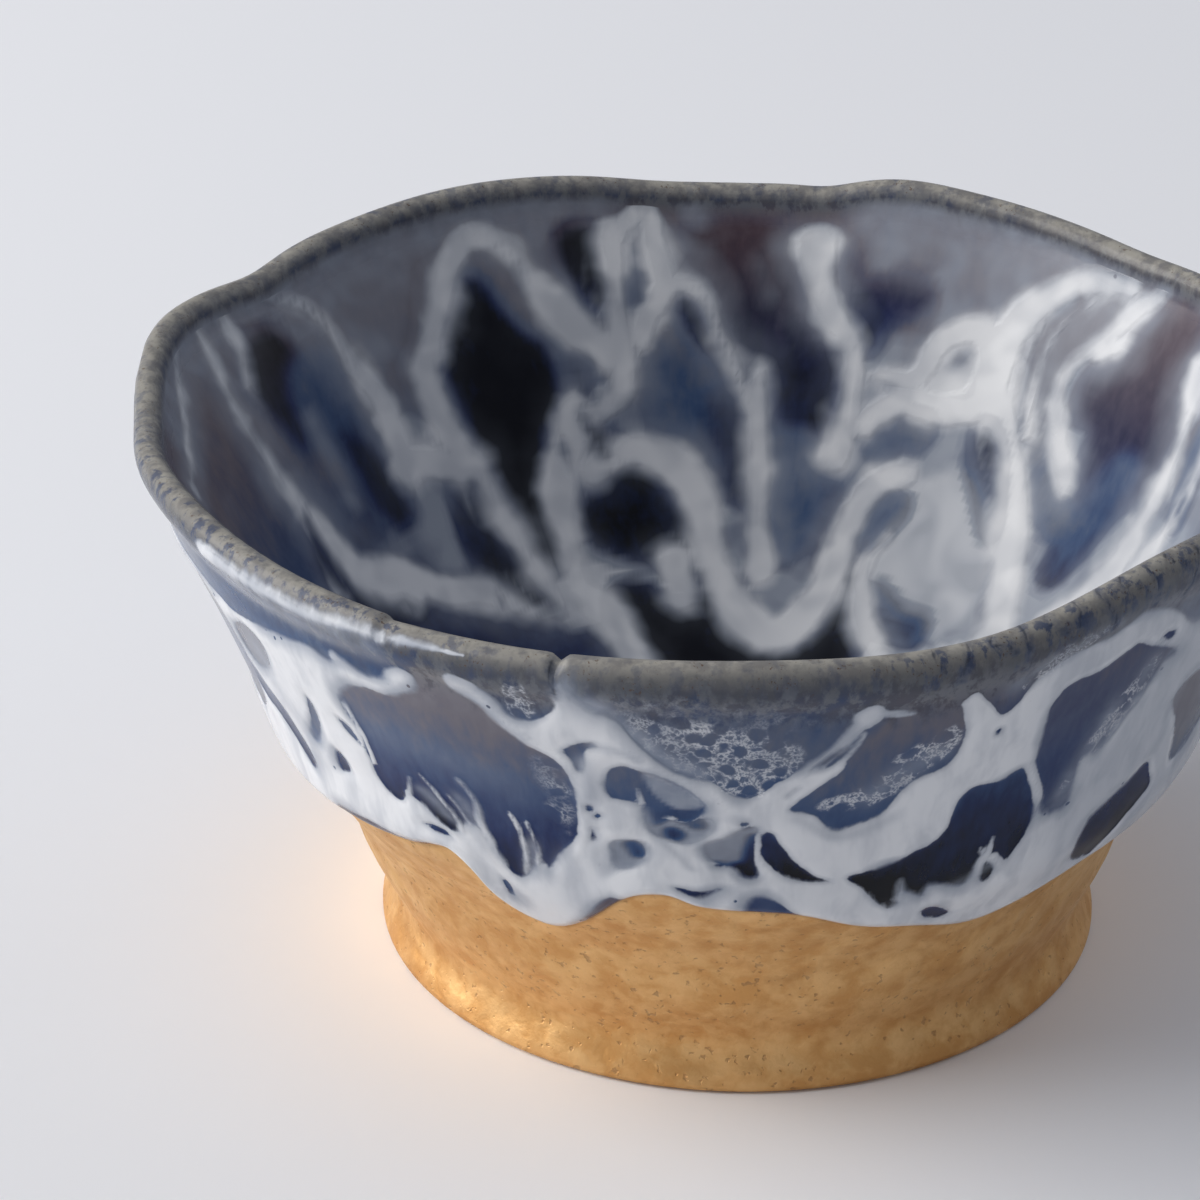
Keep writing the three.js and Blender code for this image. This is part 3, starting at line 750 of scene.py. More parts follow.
              (77.6, 12.9), (78.6, 15.2), (79.8, 18), (82, 18.2), (84.8, 16.8), (86.2, 13.5), (88.4, 12.6),
              (89.8, 13.9), (91, 11.3), (92.8, 9), (94.2, 6.8), (96.4, 5.4)), 0.55, 1.0, 1.9),
        Pool(((85.6, 17.9), (82, 17.3), (79.4, 18.7), (79, 22.3), (80.8, 25.6), (83.2, 26.4), (85.6, 22.4)),
              0.5, 0.45, 0.3),
        Pool(((114.4, 22.3), (111.6, 21.5), (109, 20.4), (105.8, 19.8), (103.2, 20.8), (102.4, 22.6),
              (99.2, 24), (97.6, 25.8), (98.8, 27), (101.8, 27.2), (105.4, 26.5), (109.4, 26),
              (112.4, 25.1), (115, 23.8)), 0.95, 0.95, 0.1),
        Pool(((113.2, 15.9), (111.2, 16.3), (109.2, 17.8), (108, 18.8), (109.8, 19.4), (111.8, 18.6)), 1.0,
              1.0, 0.5),
        Pool(((116.6, 17), (114.8, 17.5), (114.2, 19.5), (116, 19.9), (117, 18.4)), 0.6, 0.7, 0.1),
        Pool(((113.8, 10.8), (111.8, 11.2), (110.4, 13.3), (110, 14.8), (112.2, 14.4), (113.4, 12.6)), 0.6,
              0.75, 0.4),
        Pool(((113.8, 30), (108.4, 29.2), (105, 30.6), (99.6, 30.9), (96.6, 29.3), (95, 28.3), (93.4, 30.3),
              (90.8, 33), (85.8, 34.5), (78.6, 34.5), (73, 32.4), (71.4, 29), (70.2, 27.2), (67.6, 29.4),
              (66, 33), (72, 39), (100, 41), (116, 38)), 0.98, 1.1, 0.4),
        Pool(((111.4, 3), (108.4, 2.6), (107, 4.7), (107.2, 7.9), (109, 8), (110.8, 6.4), (111.8, 4.7)),
              0.95, 1.0, 2.0),
        Pool(((78.2, 4.3), (76.2, 6.5), (73, 6.2), (70.6, 5.6), (68, 6.2), (67.8, 7.4), (71, 8.4),
              (72.8, 9.4), (74.2, 10.8), (76.2, 9.5), (77.8, 7.3)), 0.6, 0.95, 1.7),
        Pool(((65, 21.3), (60.2, 19.6), (56.8, 18.7), (53.4, 19.7), (50, 22.3), (48.8, 25.3), (49.4, 27.9),
              (52.2, 29.8), (56.2, 31), (61.4, 30.3), (66, 27.5), (67.6, 24.6), (67, 22.6)), 0.0, 0.0, 0.4,
              1.25),
        Pool(((73.8, 24.4), (70.4, 23.1), (66.6, 21.7), (65.8, 22.2), (68.4, 24.1), (71.2, 25.2)), 0.55,
              0.6, 0.0),
        Pool(((65.2, 28.7), (62.6, 29.3), (58.8, 29.9), (55, 29.9), (55, 31.4), (59.2, 31.4), (63.4, 30.5)),
              0.7, 0.75, 0.2),
        Pool(((56.8, 15.6), (55.6, 14.8), (53.6, 16), (51.8, 18.7), (50.4, 21.5), (53.6, 19.4),
              (56.2, 17.4)), 0.95, 0.6, 0.1),
        Pool(((44, 2.3), (41.6, 2.6), (46, 5.4), (48.4, 8), (48.2, 12), (47.4, 15.4), (49.6, 13), (50.6, 9),
              (48.4, 5)), 0.1, 0.2, 1.0, 0.5),
        Pool(((75.4, 20), (72.8, 18.2), (70, 17.2), (69.6, 18), (72.4, 19.2), (74.4, 20.4)), 0.5, 0.5, 0.2),
        Pool(((67.6, 16.3), (65.6, 15.5), (64.4, 16.2), (66, 17)), 0.4, 0.4, 0.2),
        Pool(((35.6, 1.7), (32.4, 1.3), (29.4, 2.5), (28, 4.3), (27.4, 6.4), (25.8, 8.3), (26, 10.5),
              (27.4, 12.5), (28.6, 14.4), (32, 16.2), (33.6, 19.4), (36.2, 22.9), (37.6, 22.5),
              (37.4, 20.7), (37.2, 18.2), (39.2, 14), (39.6, 11.8), (43, 11.1), (43.4, 9.3), (42, 7.7),
              (39.2, 6), (38, 4.4)), 0.5, 0.95, 1.8),
        Pool(((33.6, 13), (30.4, 13), (31, 16), (34, 20), (37, 22.6), (37, 19), (36.4, 16)), 0.5, 0.62,
              0.6),
        Strand(((40.2, 5.3), (43.6, 6.6)), 1.0, 1.6),
        Pool(((21.4, 8), (20.6, 8.2), (19, 11), (18.2, 14), (19.4, 13.2), (20.8, 10.4)), 0.6, 0.65, 0.1),
        Pool(((45.4, 17.3), (43.4, 16), (41, 17.6), (37.6, 18.6), (39, 20), (42.6, 19)), 0.35, 0.35, 0.2),
        Strand(((66, 19.4), (70.4, 20.8), (73.2, 23.8), (74.2, 26.8), (76.2, 30), (80, 32.6), (85, 33.2)),
                2.0, 2.6),
        Strand(((96.6, 24.1), (95, 27.3), (91.6, 30.5), (86, 33)), 2.2, 2.6),
        Strand(((101.8, 27.6), (101.6, 29.8)), 2.6),
        Strand(((119.6, 28), (115.6, 31), (115, 36)), 3.0, 2.0),
        Strand(((66, 24), (68.8, 27), (66, 30.6), (60, 33)), 1.0, 2.0),
        CloudAndShade(((160, 10), (156, 16), (150, 21)), 4, 0.4),
        CloudAndShade(((151, 9.8), (150.8, 11.8), (150.4, 14.6), (150.6, 16.4)), 2, 0.6),
        CloudAndShade(((76, 1.4), (73, 3.4), (68, 4.6)), 4, 0.4),
        CloudAndShade(((96.4, -0.4), (96.2, 1.2)), 2.4, 0.6),
        CloudAndShade(((88, 5), (87, 7)), 2.4, 0.25),
        CloudAndShade(((84, 27), (86, 30)), 4, 0.5),
    )
    outside_copies: Copies = ((-50, -1, 0.6, (-4, 100)), (251, 1, 0.2, (100, 190)))
    inside_copies: Copies = ((186, 1, 0.0, (200, 330)), (8, -1, 1.0, (-36, 14)))

    def paint_outside(self, canvas: Canvas) -> None:
        """Paints the outer wall: white up to the border, and then each mark.

        Args:
            canvas: The outer wall.
        """
        border = curve_around(self.border)(canvas.angle)
        canvas.layers[Layer.FLOW][:] = np.clip(border - canvas.along, -3, 3)
        above = smooth_step(canvas.along, 32, 37)
        canvas.layers[Layer.DEPTH][:] = 0.5 - 0.15 * above
        turn = (canvas.angle + 180) % 360 - 180
        canvas.layers[Layer.WARMTH][:] = 0.4 + 0.8 * smooth_step(turn, -84, -66) * smooth_step(turn, 60, 0)
        self._lay(canvas, self.outside, self.outside_copies)

    def paint_inside(self, canvas: Canvas) -> None:
        """Paints the inner wall: a dark ground, and then each mark.

        Args:
            canvas: The inner wall.
        """
        canvas.layers[Layer.FLOW][:] = -3
        canvas.layers[Layer.DEPTH][:] = 0.32 + 0.45 * smooth_step(canvas.along, 3, 30)
        canvas.layers[Layer.WARMTH][:] = 1.4 - 0.8 * smooth_step(canvas.along, 8, 26)
        self._lay(canvas, self.inside, self.inside_copies)

    def _lay(self, canvas: Canvas, marks: tuple[Mark, ...], copies: Copies) -> None:
        """Lays marks on one side of the wall, and their copies where that side isn't marked.

        Args:
            canvas: The side of the wall.
            marks: The marks, in order.
            copies: How they are repeated.
        """
        for mark in marks:
            mark.paint(canvas)
            for turn, flip, drop, (first, last) in copies:
                copy = mark.moved(turn, flip, drop)
                if first < copy.centre() < last:
                    copy.paint(canvas)


@dataclass
class Cup:
    """The cup: one spun wall, waved as if by hand, with gold leaf below and glaze above.

    Every length is in millimetres, and angles are in degrees from +X towards +Y.

    Attributes:
        foot_radius: The radius of the foot's underside.
        foot_edge_round: How far the foot's lower edge is rounded.
        ring_width: The width of the ring that the cup stands on, with its sloping side.
        recess_depth: How deep the underside is hollowed.
        recess_slope: How far the side of that hollow leans.
        wall: The outer wall, as stations of height and radius.
        lip_height: The height of the level lip's crest.
        lip_thickness: The thickness of the lip, which is half round.
        lip_swell: How far below the lip's middle the wall starts to swell out to meet it.
        bowl: The inner wall, as points of radius and height.
        lip_heights: The lip's height at places that are evenly spaced from +X.
        lip_radii: Its radius there.
        edge_mean: The height of the glaze's edge on the level bowl.
        edge: The glaze's edge, as stations of angle and height.
        roll: How far the glaze stands out at its edge.
        roll_fade: The height over which that fades.
        roll_round: The height over which the edge rounds in.
        shift_bottom: The height below which the edge's waves aren't felt.
        shift_top: The height above which they aren't.
        radius_power: How quickly the lip's swelling fades downwards.
        height_power: How quickly its rise and fall does.
        columns: How many columns of faces there are around the cup.
        front: The angles of the side that faces the viewer, first and last.
        front_share: The share of the columns that is on that side.
        gilt_rows: The rows of points on the gold.
        outside_rows: The rows on the glazed outer wall, above its edge.
        lip_rows: The rows over the lip.
        inside_rows: The rows on the inner wall.
        seen_depth: The share of the inner wall, from the lip, that has most of those rows.
        seen_rows: The share of the rows that it has.
        relief: How far the white stands out from the ground.
        nick: The lip's nick: its angle, its half width in degrees and its depth.
        step: The small step beside it, as the same.
        ripples: The lip's ripples: angle, half width, rise and swell.
        pattern: The glaze's pattern.
    """

    foot_radius: float = 24.8
    foot_edge_round: float = 0.5
    ring_width: float = 4.4
    recess_depth: float = 2.6
    recess_slope: float = 0.9
    wall: Path = (
        (0, 24.8), (1.3, 24.5), (3.4, 23.9), (5.4, 24.8), (8, 26), (11, 27), (14, 28.8), (17.6, 31.3),
        (22.5, 33.2), (27.5, 35.1), (32.5, 37.1), (38.5, 39.1),
    )
    lip_height: float = 38.4
    lip_thickness: float = 1.9
    lip_swell: float = 2.9
    bowl: Path = (
        (37.2, 37.4), (36.9, 36.2), (34.3, 31), (31.3, 24), (27.6, 17.4), (22, 11.6), (15, 8.2), (7, 6.9),
        (0, 6.6),
    )
    lip_heights: tuple[float, ...] = (
        39.1, 38.7, 38.1, 38.6, 37.5, 38.5, 38.2, 37.4, 36.9, 37.8, 37.8, 38.1, 38.6, 38.5, 40.3, 39.6,
    )
    lip_radii: tuple[float, ...] = (
        38.5, 38.8, 38.9, 39.2, 39.6, 40.4, 41.3, 41.7, 40.8, 39.2, 38.3, 38.2, 37.9, 37.3, 36.9, 37.6,
    )
    edge_mean: float = 15
    edge: Path = (
        (-180, 15), (-160, 16.4), (-141, 17.6), (-130, 18.6), (-124, 19.5), (-121, 18.1), (-118.5, 15.2),
        (-115, 13.9), (-112, 14), (-108, 15.6), (-102.5, 18.7), (-98, 19.4), (-94, 18.5), (-83, 17.7),
        (-75, 15.7), (-68, 14.6), (-59, 13.1), (-51, 13.4), (-40, 14.6), (-14, 15.4), (8, 16.6), (28, 13.6),
        (50, 16.8), (72, 14.2), (95, 17.4), (118, 13.8), (140, 16.6), (160, 14.4),
    )
    roll: float = 0.7
    roll_fade: float = 3.5
    roll_round: float = 0.6
    shift_bottom: float = 4.5
    shift_top: float = 28
    radius_power: float = 1.5
    height_power: float = 2
    columns: int = 588
    front: Point = (-152, -24)
    front_share: float = 0.5
    gilt_rows: int = 14
    outside_rows: int = 72
    lip_rows: int = 9
    inside_rows: int = 60
    seen_depth: float = 0.62
    seen_rows: float = 0.78
    relief: float = 0.16
    nick: Spot = (-106.6, 0.55, 0.5)
    step: Spot = (-124.4, 0.8, 0.3)
    ripples: tuple[tuple[float, float, float, float], ...] = (
        (163, 9, 0.5, 0.9),
        (148.5, 5, -0.45, -0.2),
        (123, 12, 0.4, 0),
        (100, 6, -0.2, 0),
        (81.5, 3.5, -0.3, 0),
        (73, 6, 0.35, 0),
        (42, 6, -0.2, 0),
        (182, 7, 0, -0.35),
    )
    pattern: GlazePattern = field(default_factory=GlazePattern)

    def __post_init__(self) -> None:
        """Fits the curves that the shape follows."""
        self._wall = curve_through(self.wall)
        self._edge = curve_around(self.edge)
        self._lip_height = curve_around(evenly(self.lip_heights))
        self._lip_radius = curve_around(evenly(self.lip_radii))
        lip_middle = self.lip_height - self.lip_thickness / 2
        self._lip_centre = (float(self._wall(np.array(self.lip_height))) - self.lip_thickness / 2, lip_middle)

    def outer_radius(self, height: np.ndarray) -> np.ndarray:
        """The radius of the glazed wall, which swells out at its top to meet the rounded lip.

        Args:
            height: The heights on the level bowl.

        Returns:
            The radii there.
        """
        lip_x, lip_z = self._lip_centre
        wall = self._wall(height)
        swell = smooth_step(height, lip_z - self.lip_swell, lip_z)
        return wall + (lip_x + self.lip_thickness / 2 - wall) * swell + self.stand_out(height)

    def stand_out(self, height: np.ndarray) -> np.ndarray:
        """How far the glaze stands out from the wall: a round roll at its edge that fades upwards.

        Args:
            height: The heights on the level bowl.

        Returns:
            The distances there.
        """
        above = height - self.edge_mean
        rounded = np.sqrt(np.clip((above + 0.1) / self.roll_round, 0, 1))
        return self.roll * np.exp(-np.maximum(above, 0) / self.roll_fade) * rounded

    def profile(self) -> tuple[np.ndarray, np.ndarray, np.ndarray]:
        """Draws the half section of the round, level bowl.

        Returns:
            The points as (radius, height), the zone of each, and its place: the height on the outer wall, and
            the distance from the lip on the inner one.
        """
        ring = self.foot_radius - self.ring_width
        recess = ring - self.recess_slope
        corner = self.foot_radius - self.foot_edge_round
        round_x = self.foot_radius - self.foot_edge_round / 4
        deep = self.recess_depth
        under = [(0, deep), (1.5, deep), (recess / 2, deep), (recess - 0.4, deep), (recess, deep - 0.15)]
        under += [(ring - 0.15, 0.15), (ring + 0.3, 0), (corner, 0), (round_x, self.foot_edge_round / 2)]
        gilt = np.linspace(0.6, self.edge_mean - 0.35, self.gilt_rows)
        bead = self.edge_mean + np.array([-0.1, -0.07, 0.0, 0.15, 0.4])
        top = self.lip_height - self.lip_thickness / 2 - 0.1
        glaze = np.concatenate([bead, np.linspace(self.edge_mean + 0.7, top, self.outside_rows)])
        outside = np.column_stack([self.outer_radius(glaze), glaze])
        turn = np.linspace(0, math.pi, self.lip_rows)
        half = self.lip_thickness / 2
        lip = np.column_stack([np.cos(turn), np.sin(turn)]) * half + self._lip_centre
        curve = smooth_path(self.bowl, closed=False, steps=40)
        length = np.concatenate([[0], np.cumsum(np.hypot(*np.diff(curve, axis=0).T))])
        steps = np.linspace(0, 1, self.inside_rows + 1)[1:]
        down = np.interp(steps, [0, self.seen_rows, 1], [0, self.seen_depth, 1]) * length[-1]
        inside = np.column_stack([np.interp(down, length, curve[:, 0]), np.interp(down, length, curve[:, 1])])
        parts = [np.array(under, float), np.column_stack([self._wall(gilt), gilt]), outside, lip, inside]
        zones = np.concatenate([np.full(len(part), zone.value) for part, zone in zip(parts, Zone)])
        places = np.concatenate([parts[0][:, 1], gilt, glaze, np.full(len(lip), self.lip_height), down])
        return np.vstack(parts), zones, places

    def spin(self) -> bpy.types.Object:
        """Spins the profile into a closed bowl.

        Returns:
            The bowl, with each point's row number kept in an attribute.
        """
        points, _, _ = self.profile()
        bpy.ops.mesh.primitive_circle_add(vertices=len(points), radius=self.foot_radius * MM)
        bowl = bpy.context.object
        place = np.column_stack([points[:, 0], np.zeros(len(points)), points[:, 1]]) * MM
        bowl.data.vertices.foreach_set("co", place.ravel())
        bowl.data.attributes.new("row", "INT", "POINT").data.foreach_set("value", np.arange(len(points)))
        bpy.ops.object.mode_set(mode="EDIT")
        bpy.ops.mesh.select_all(action="DESELECT")
        bpy.ops.object.mode_set(mode="OBJECT")
        closing = {0, len(points) - 1}
        for edge in bowl.data.edges:
            edge.select = set(edge.vertices) == closing
        bpy.ops.object.mode_set(mode="EDIT")
        bpy.ops.mesh.select_mode(type="EDGE")
        bpy.ops.mesh.delete(type="EDGE_FACE")
        bpy.ops.mesh.select_mode(type="VERT")
        bpy.ops.mesh.select_all(action="SELECT")
        bpy.ops.mesh.spin(steps=self.columns, angle=math.tau, center=(0, 0, 0), axis=(0, 0, 1))
        bpy.ops.mesh.select_all(action="SELECT")
        bpy.ops.mesh.remove_doubles(threshold=1e-6)
        bpy.ops.mesh.normals_make_consistent(inside=False)
        bpy.ops.object.mode_set(mode="OBJECT")
        bpy.ops.object.shade_smooth()
        return bowl

    def crowd(self, angle: np.ndarray) -> np.ndarray:
        """Draws the columns closer together on the side that faces the viewer."""
        first, last = self.front
        return np.interp((angle - first) % 360, [0, 360 * self.front_share, 360], [first, last, first + 360])

    def wave(
        self, angle: np.ndarray, radius: np.ndarray, height: np.ndarray, outer: np.ndarray
    ) -> tuple[np.ndarray, np.ndarray]:
        """Turns the round, level bowl into the hand-shaped one.

        Args:
            angle: The angle of each point.
            radius: Its radius on the round bowl.
            height: Its height there.
            outer: Whether it is on the outer wall, whose rows follow the glaze's edge.

        Returns:
            The radius and the height on the hand-shaped bowl.
        """
        below = smooth_step(height, self.shift_bottom, self.edge_mean)
        above = 1 - smooth_step(height, self.edge_mean, self.shift_top)
        rise = (self._edge(angle) - self.edge_mean) * np.where(height < self.edge_mean, below, above)
        shifted = np.where(outer, height + rise, height)
        radius = radius + self._wall(shifted) - np.where(outer, self._wall(height), self._wall(shifted))
        share = np.maximum(0, shifted) / self.lip_height
        away = np.minimum(1, radius / self.foot_radius)
        wide = (self._lip_radius(angle) - np.mean(self.lip_radii)) * share**self.radius_power * away
        tall = (self._lip_height(angle) - np.mean(self.lip_heights)) * share**self.height_power * away
        near_lip = smooth_step(share, 0.55, 1)
        for at, reach, rise, swell in self.ripples:
            bump = np.exp(-((((angle - at + 180) % 360 - 180) / reach) ** 2)) * near_lip
            wide = wide + swell * bump
            tall = tall + rise * bump
        return radius + wide, shifted + tall

    def build(self) -> bpy.types.Object:
        """Makes the whole piece and dresses it.

        Returns:
            The finished object, at the origin, with its place in its mesh.
        """
        bowl = self.spin()
        bowl.name = "glazed_cup"
        mesh = bowl.data
        count = len(mesh.vertices)
        row = np.empty(count, np.int32)
        mesh.attributes["row"].data.foreach_get("value", row)
        mesh.attributes.remove(mesh.attributes["row"])
        co = np.empty(count * 3, np.float32)
        mesh.vertices.foreach_get("co", co)
        co = co.reshape(-1, 3).astype(float)
        points, zones, places = self.profile()
        zone = zones[row]
        place = places[row]
        radius, height = points[row].T
        angle = self.crowd(np.degrees(np.arctan2(co[:, 1], co[:, 0])))
        outer = (zone == Zone.GILT.value) | (zone == Zone.OUTSIDE.value)
        layers = self.paint(angle, radius, height, zone, place)
        raised = self.relief * smooth_step(layers[Layer.FLOW], -0.5, 1.2) * (zone == Zone.OUTSIDE.value)
        radius = radius + raised * smooth_step(place, self.edge_mean, self.edge_mean + 1)
        wide, tall = self.wave(angle, radius, height, outer)
        tall = tall - self.damage(angle, height)
        turn = np.radians(angle)
        shaped = np.column_stack([wide * np.cos(turn), wide * np.sin(turn), tall]) * MM
        low, high = (np.array(corner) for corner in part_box("cup"))
        middle = (low + high - shaped.min(axis=0) - shaped.max(axis=0)) / 2
        shaped[:, :2] += middle[:2]
        mesh.vertices.foreach_set("co", np.clip(shaped, low, high).ravel().astype(np.float32))
        for layer, values in layers.items():
            painted = mesh.attributes.new(layer.value, "FLOAT", "POINT")
            painted.data.foreach_set("value", values.astype(np.float32))
        for side in Side:
            mesh.materials.append(GlazeFinish().material(side))
        mesh.materials.append(GoldFinish().material())
        self.dress(mesh, zones, places, row)
        mesh.update()
        return bowl

    def dress(self, mesh: bpy.types.Mesh, zones: np.ndarray, places: np.ndarray, row: np.ndarray) -> None:
        """Gives each face its material: gold below the glaze's edge, and the glaze of its side above.

        Args:
            mesh: The cup's mesh, which has the materials of the sides in order, and then the gold.
            zones: The zone of each row of the profile.
            places: The place of each row along its zone.
            row: The row of each point of the mesh.
        """
        starts = np.empty(len(mesh.polygons), np.int32)
        corners = np.empty(len(mesh.loops), np.int32)
        mesh.polygons.foreach_get("loop_start", starts)
        mesh.loops.foreach_get("vertex_index", corners)
        first = np.minimum.reduceat(row[corners], starts)
        last = np.maximum.reduceat(row[corners], starts)
        inside = zones == Zone.INSIDE.value
        lip_half = math.pi / 2 * self.lip_thickness / 2
        gold_end = np.nonzero(zones == Zone.GILT.value)[0][-1] + 1
        crest = self._lip_centre[1] + lip_half
        upper = np.nonzero((zones == Zone.OUTSIDE.value) & (places > crest - LIP_REACH))[0][0]
        turning = np.nonzero(inside)[0][0]
        deep = np.nonzero(inside & (places >= TURN_END - lip_half))[0][0]
        material = (last >= upper).astype(np.int32) + (last >= turning) + (first >= deep)
        material[last <= gold_end] = len(Side)
        mesh.polygons.foreach_set("material_index", material)

    def damage(self, angle: np.ndarray, height: np.ndarray) -> np.ndarray:
        """How far the lip is let down by its nick and by the step beside it.

        Args:
            angle: The angle of each point.
            height: Its height on the level bowl.

        Returns:
            The drop at each point.
        """
        near_lip = smooth_step(height, self.lip_height - 2.2, self.lip_height - 0.4)
        at, width, depth = self.nick
        nick = depth * np.exp(-(((angle - at) / width) ** 2))
        at, width, depth = self.step
        past = (angle - at) / width
        step = depth * smooth_step(past, -1, 0) * np.exp(-np.maximum(past, 0) / 8)
        return (nick + step) * near_lip

    def paint(
        self, angle: np.ndarray, radius: np.ndarray, height: np.ndarray, zone: np.ndarray, place: np.ndarray
    ) -> dict[Layer, np.ndarray]:
        """Paints the glaze's fields on the wall.

        Args:
            angle: The angle of each point.
            radius: Its radius on the round bowl.
            height: Its height there.
            zone: The number of its zone.
            place: Its place along the zone.

        Returns:
            The value of each field at each point.
        """
        layers = {layer: np.zeros(len(angle)) for layer in Layer}
        layers[Layer.CRACK][:] = -1
        scale = np.radians(radius)
        outside = np.nonzero((zone == Zone.OUTSIDE.value) | (zone == Zone.LIP.value))[0]
        inside = np.nonzero(zone == Zone.INSIDE.value)[0]
        around = np.arctan2(height - self._lip_centre[1], radius - self._lip_centre[0])
        lip_place = self._lip_centre[1] + np.clip(around, 0, math.pi) * self.lip_thickness / 2
        along = np.where(zone == Zone.LIP.value, lip_place, place)
        sides = (
            (outside, self.pattern.paint_outside, 0.7, False),
            (inside, self.pattern.paint_inside, 1.5, True),
        )
        for chosen, paint_side, blur, hanging in sides:
            part = {layer: values[chosen] for layer, values in layers.items()}
            paint_side(Canvas(angle[chosen], along[chosen], scale[chosen], part, blur, hanging))
            for layer, values in part.items():
                layers[layer][chosen] = values
        crest = self._lip_centre[1] + math.pi / 2 * self.lip_thickness / 2
        inner_start = math.pi / 2 * self.lip_thickness / 2
        layers[Layer.RIM] = np.where(zone == Zone.INSIDE.value, -(inner_start + place), crest - along)
        layers[Layer.EDGE] = np.where(zone == Zone.INSIDE.value, 30, place - self.edge_mean)
        return layers


class Wire:
    """A node's output that takes part in arithmetic, where each operator adds its Math node."""

    def __init__(self, graph: "Graph", socket: bpy.types.NodeSocket) -> None:
        """Wraps an output socket."""
        self.graph = graph
        self.socket = socket

    def __add__(self, other: "Wire | float") -> "Wire":
        """The sum."""
        return self.graph.math("ADD", self, other)

    def __radd__(self, other: float) -> "Wire":
        """The sum, with a number first."""
        return self.graph.math("ADD", other, self)

    def __sub__(self, other: "Wire | float") -> "Wire":
        """The difference."""
        return self.graph.math("SUBTRACT", self, other)

    def __rsub__(self, other: float) -> "Wire":
        """The difference, with a number first."""
        return self.graph.math("SUBTRACT", other, self)

    def __mul__(self, other: "Wire | float") -> "Wire":
        """The product."""
        return self.graph.math("MULTIPLY", self, other)

    def __rmul__(self, other: float) -> "Wire":
        """The product, with a number first."""
        return self.graph.math("MULTIPLY", other, self)


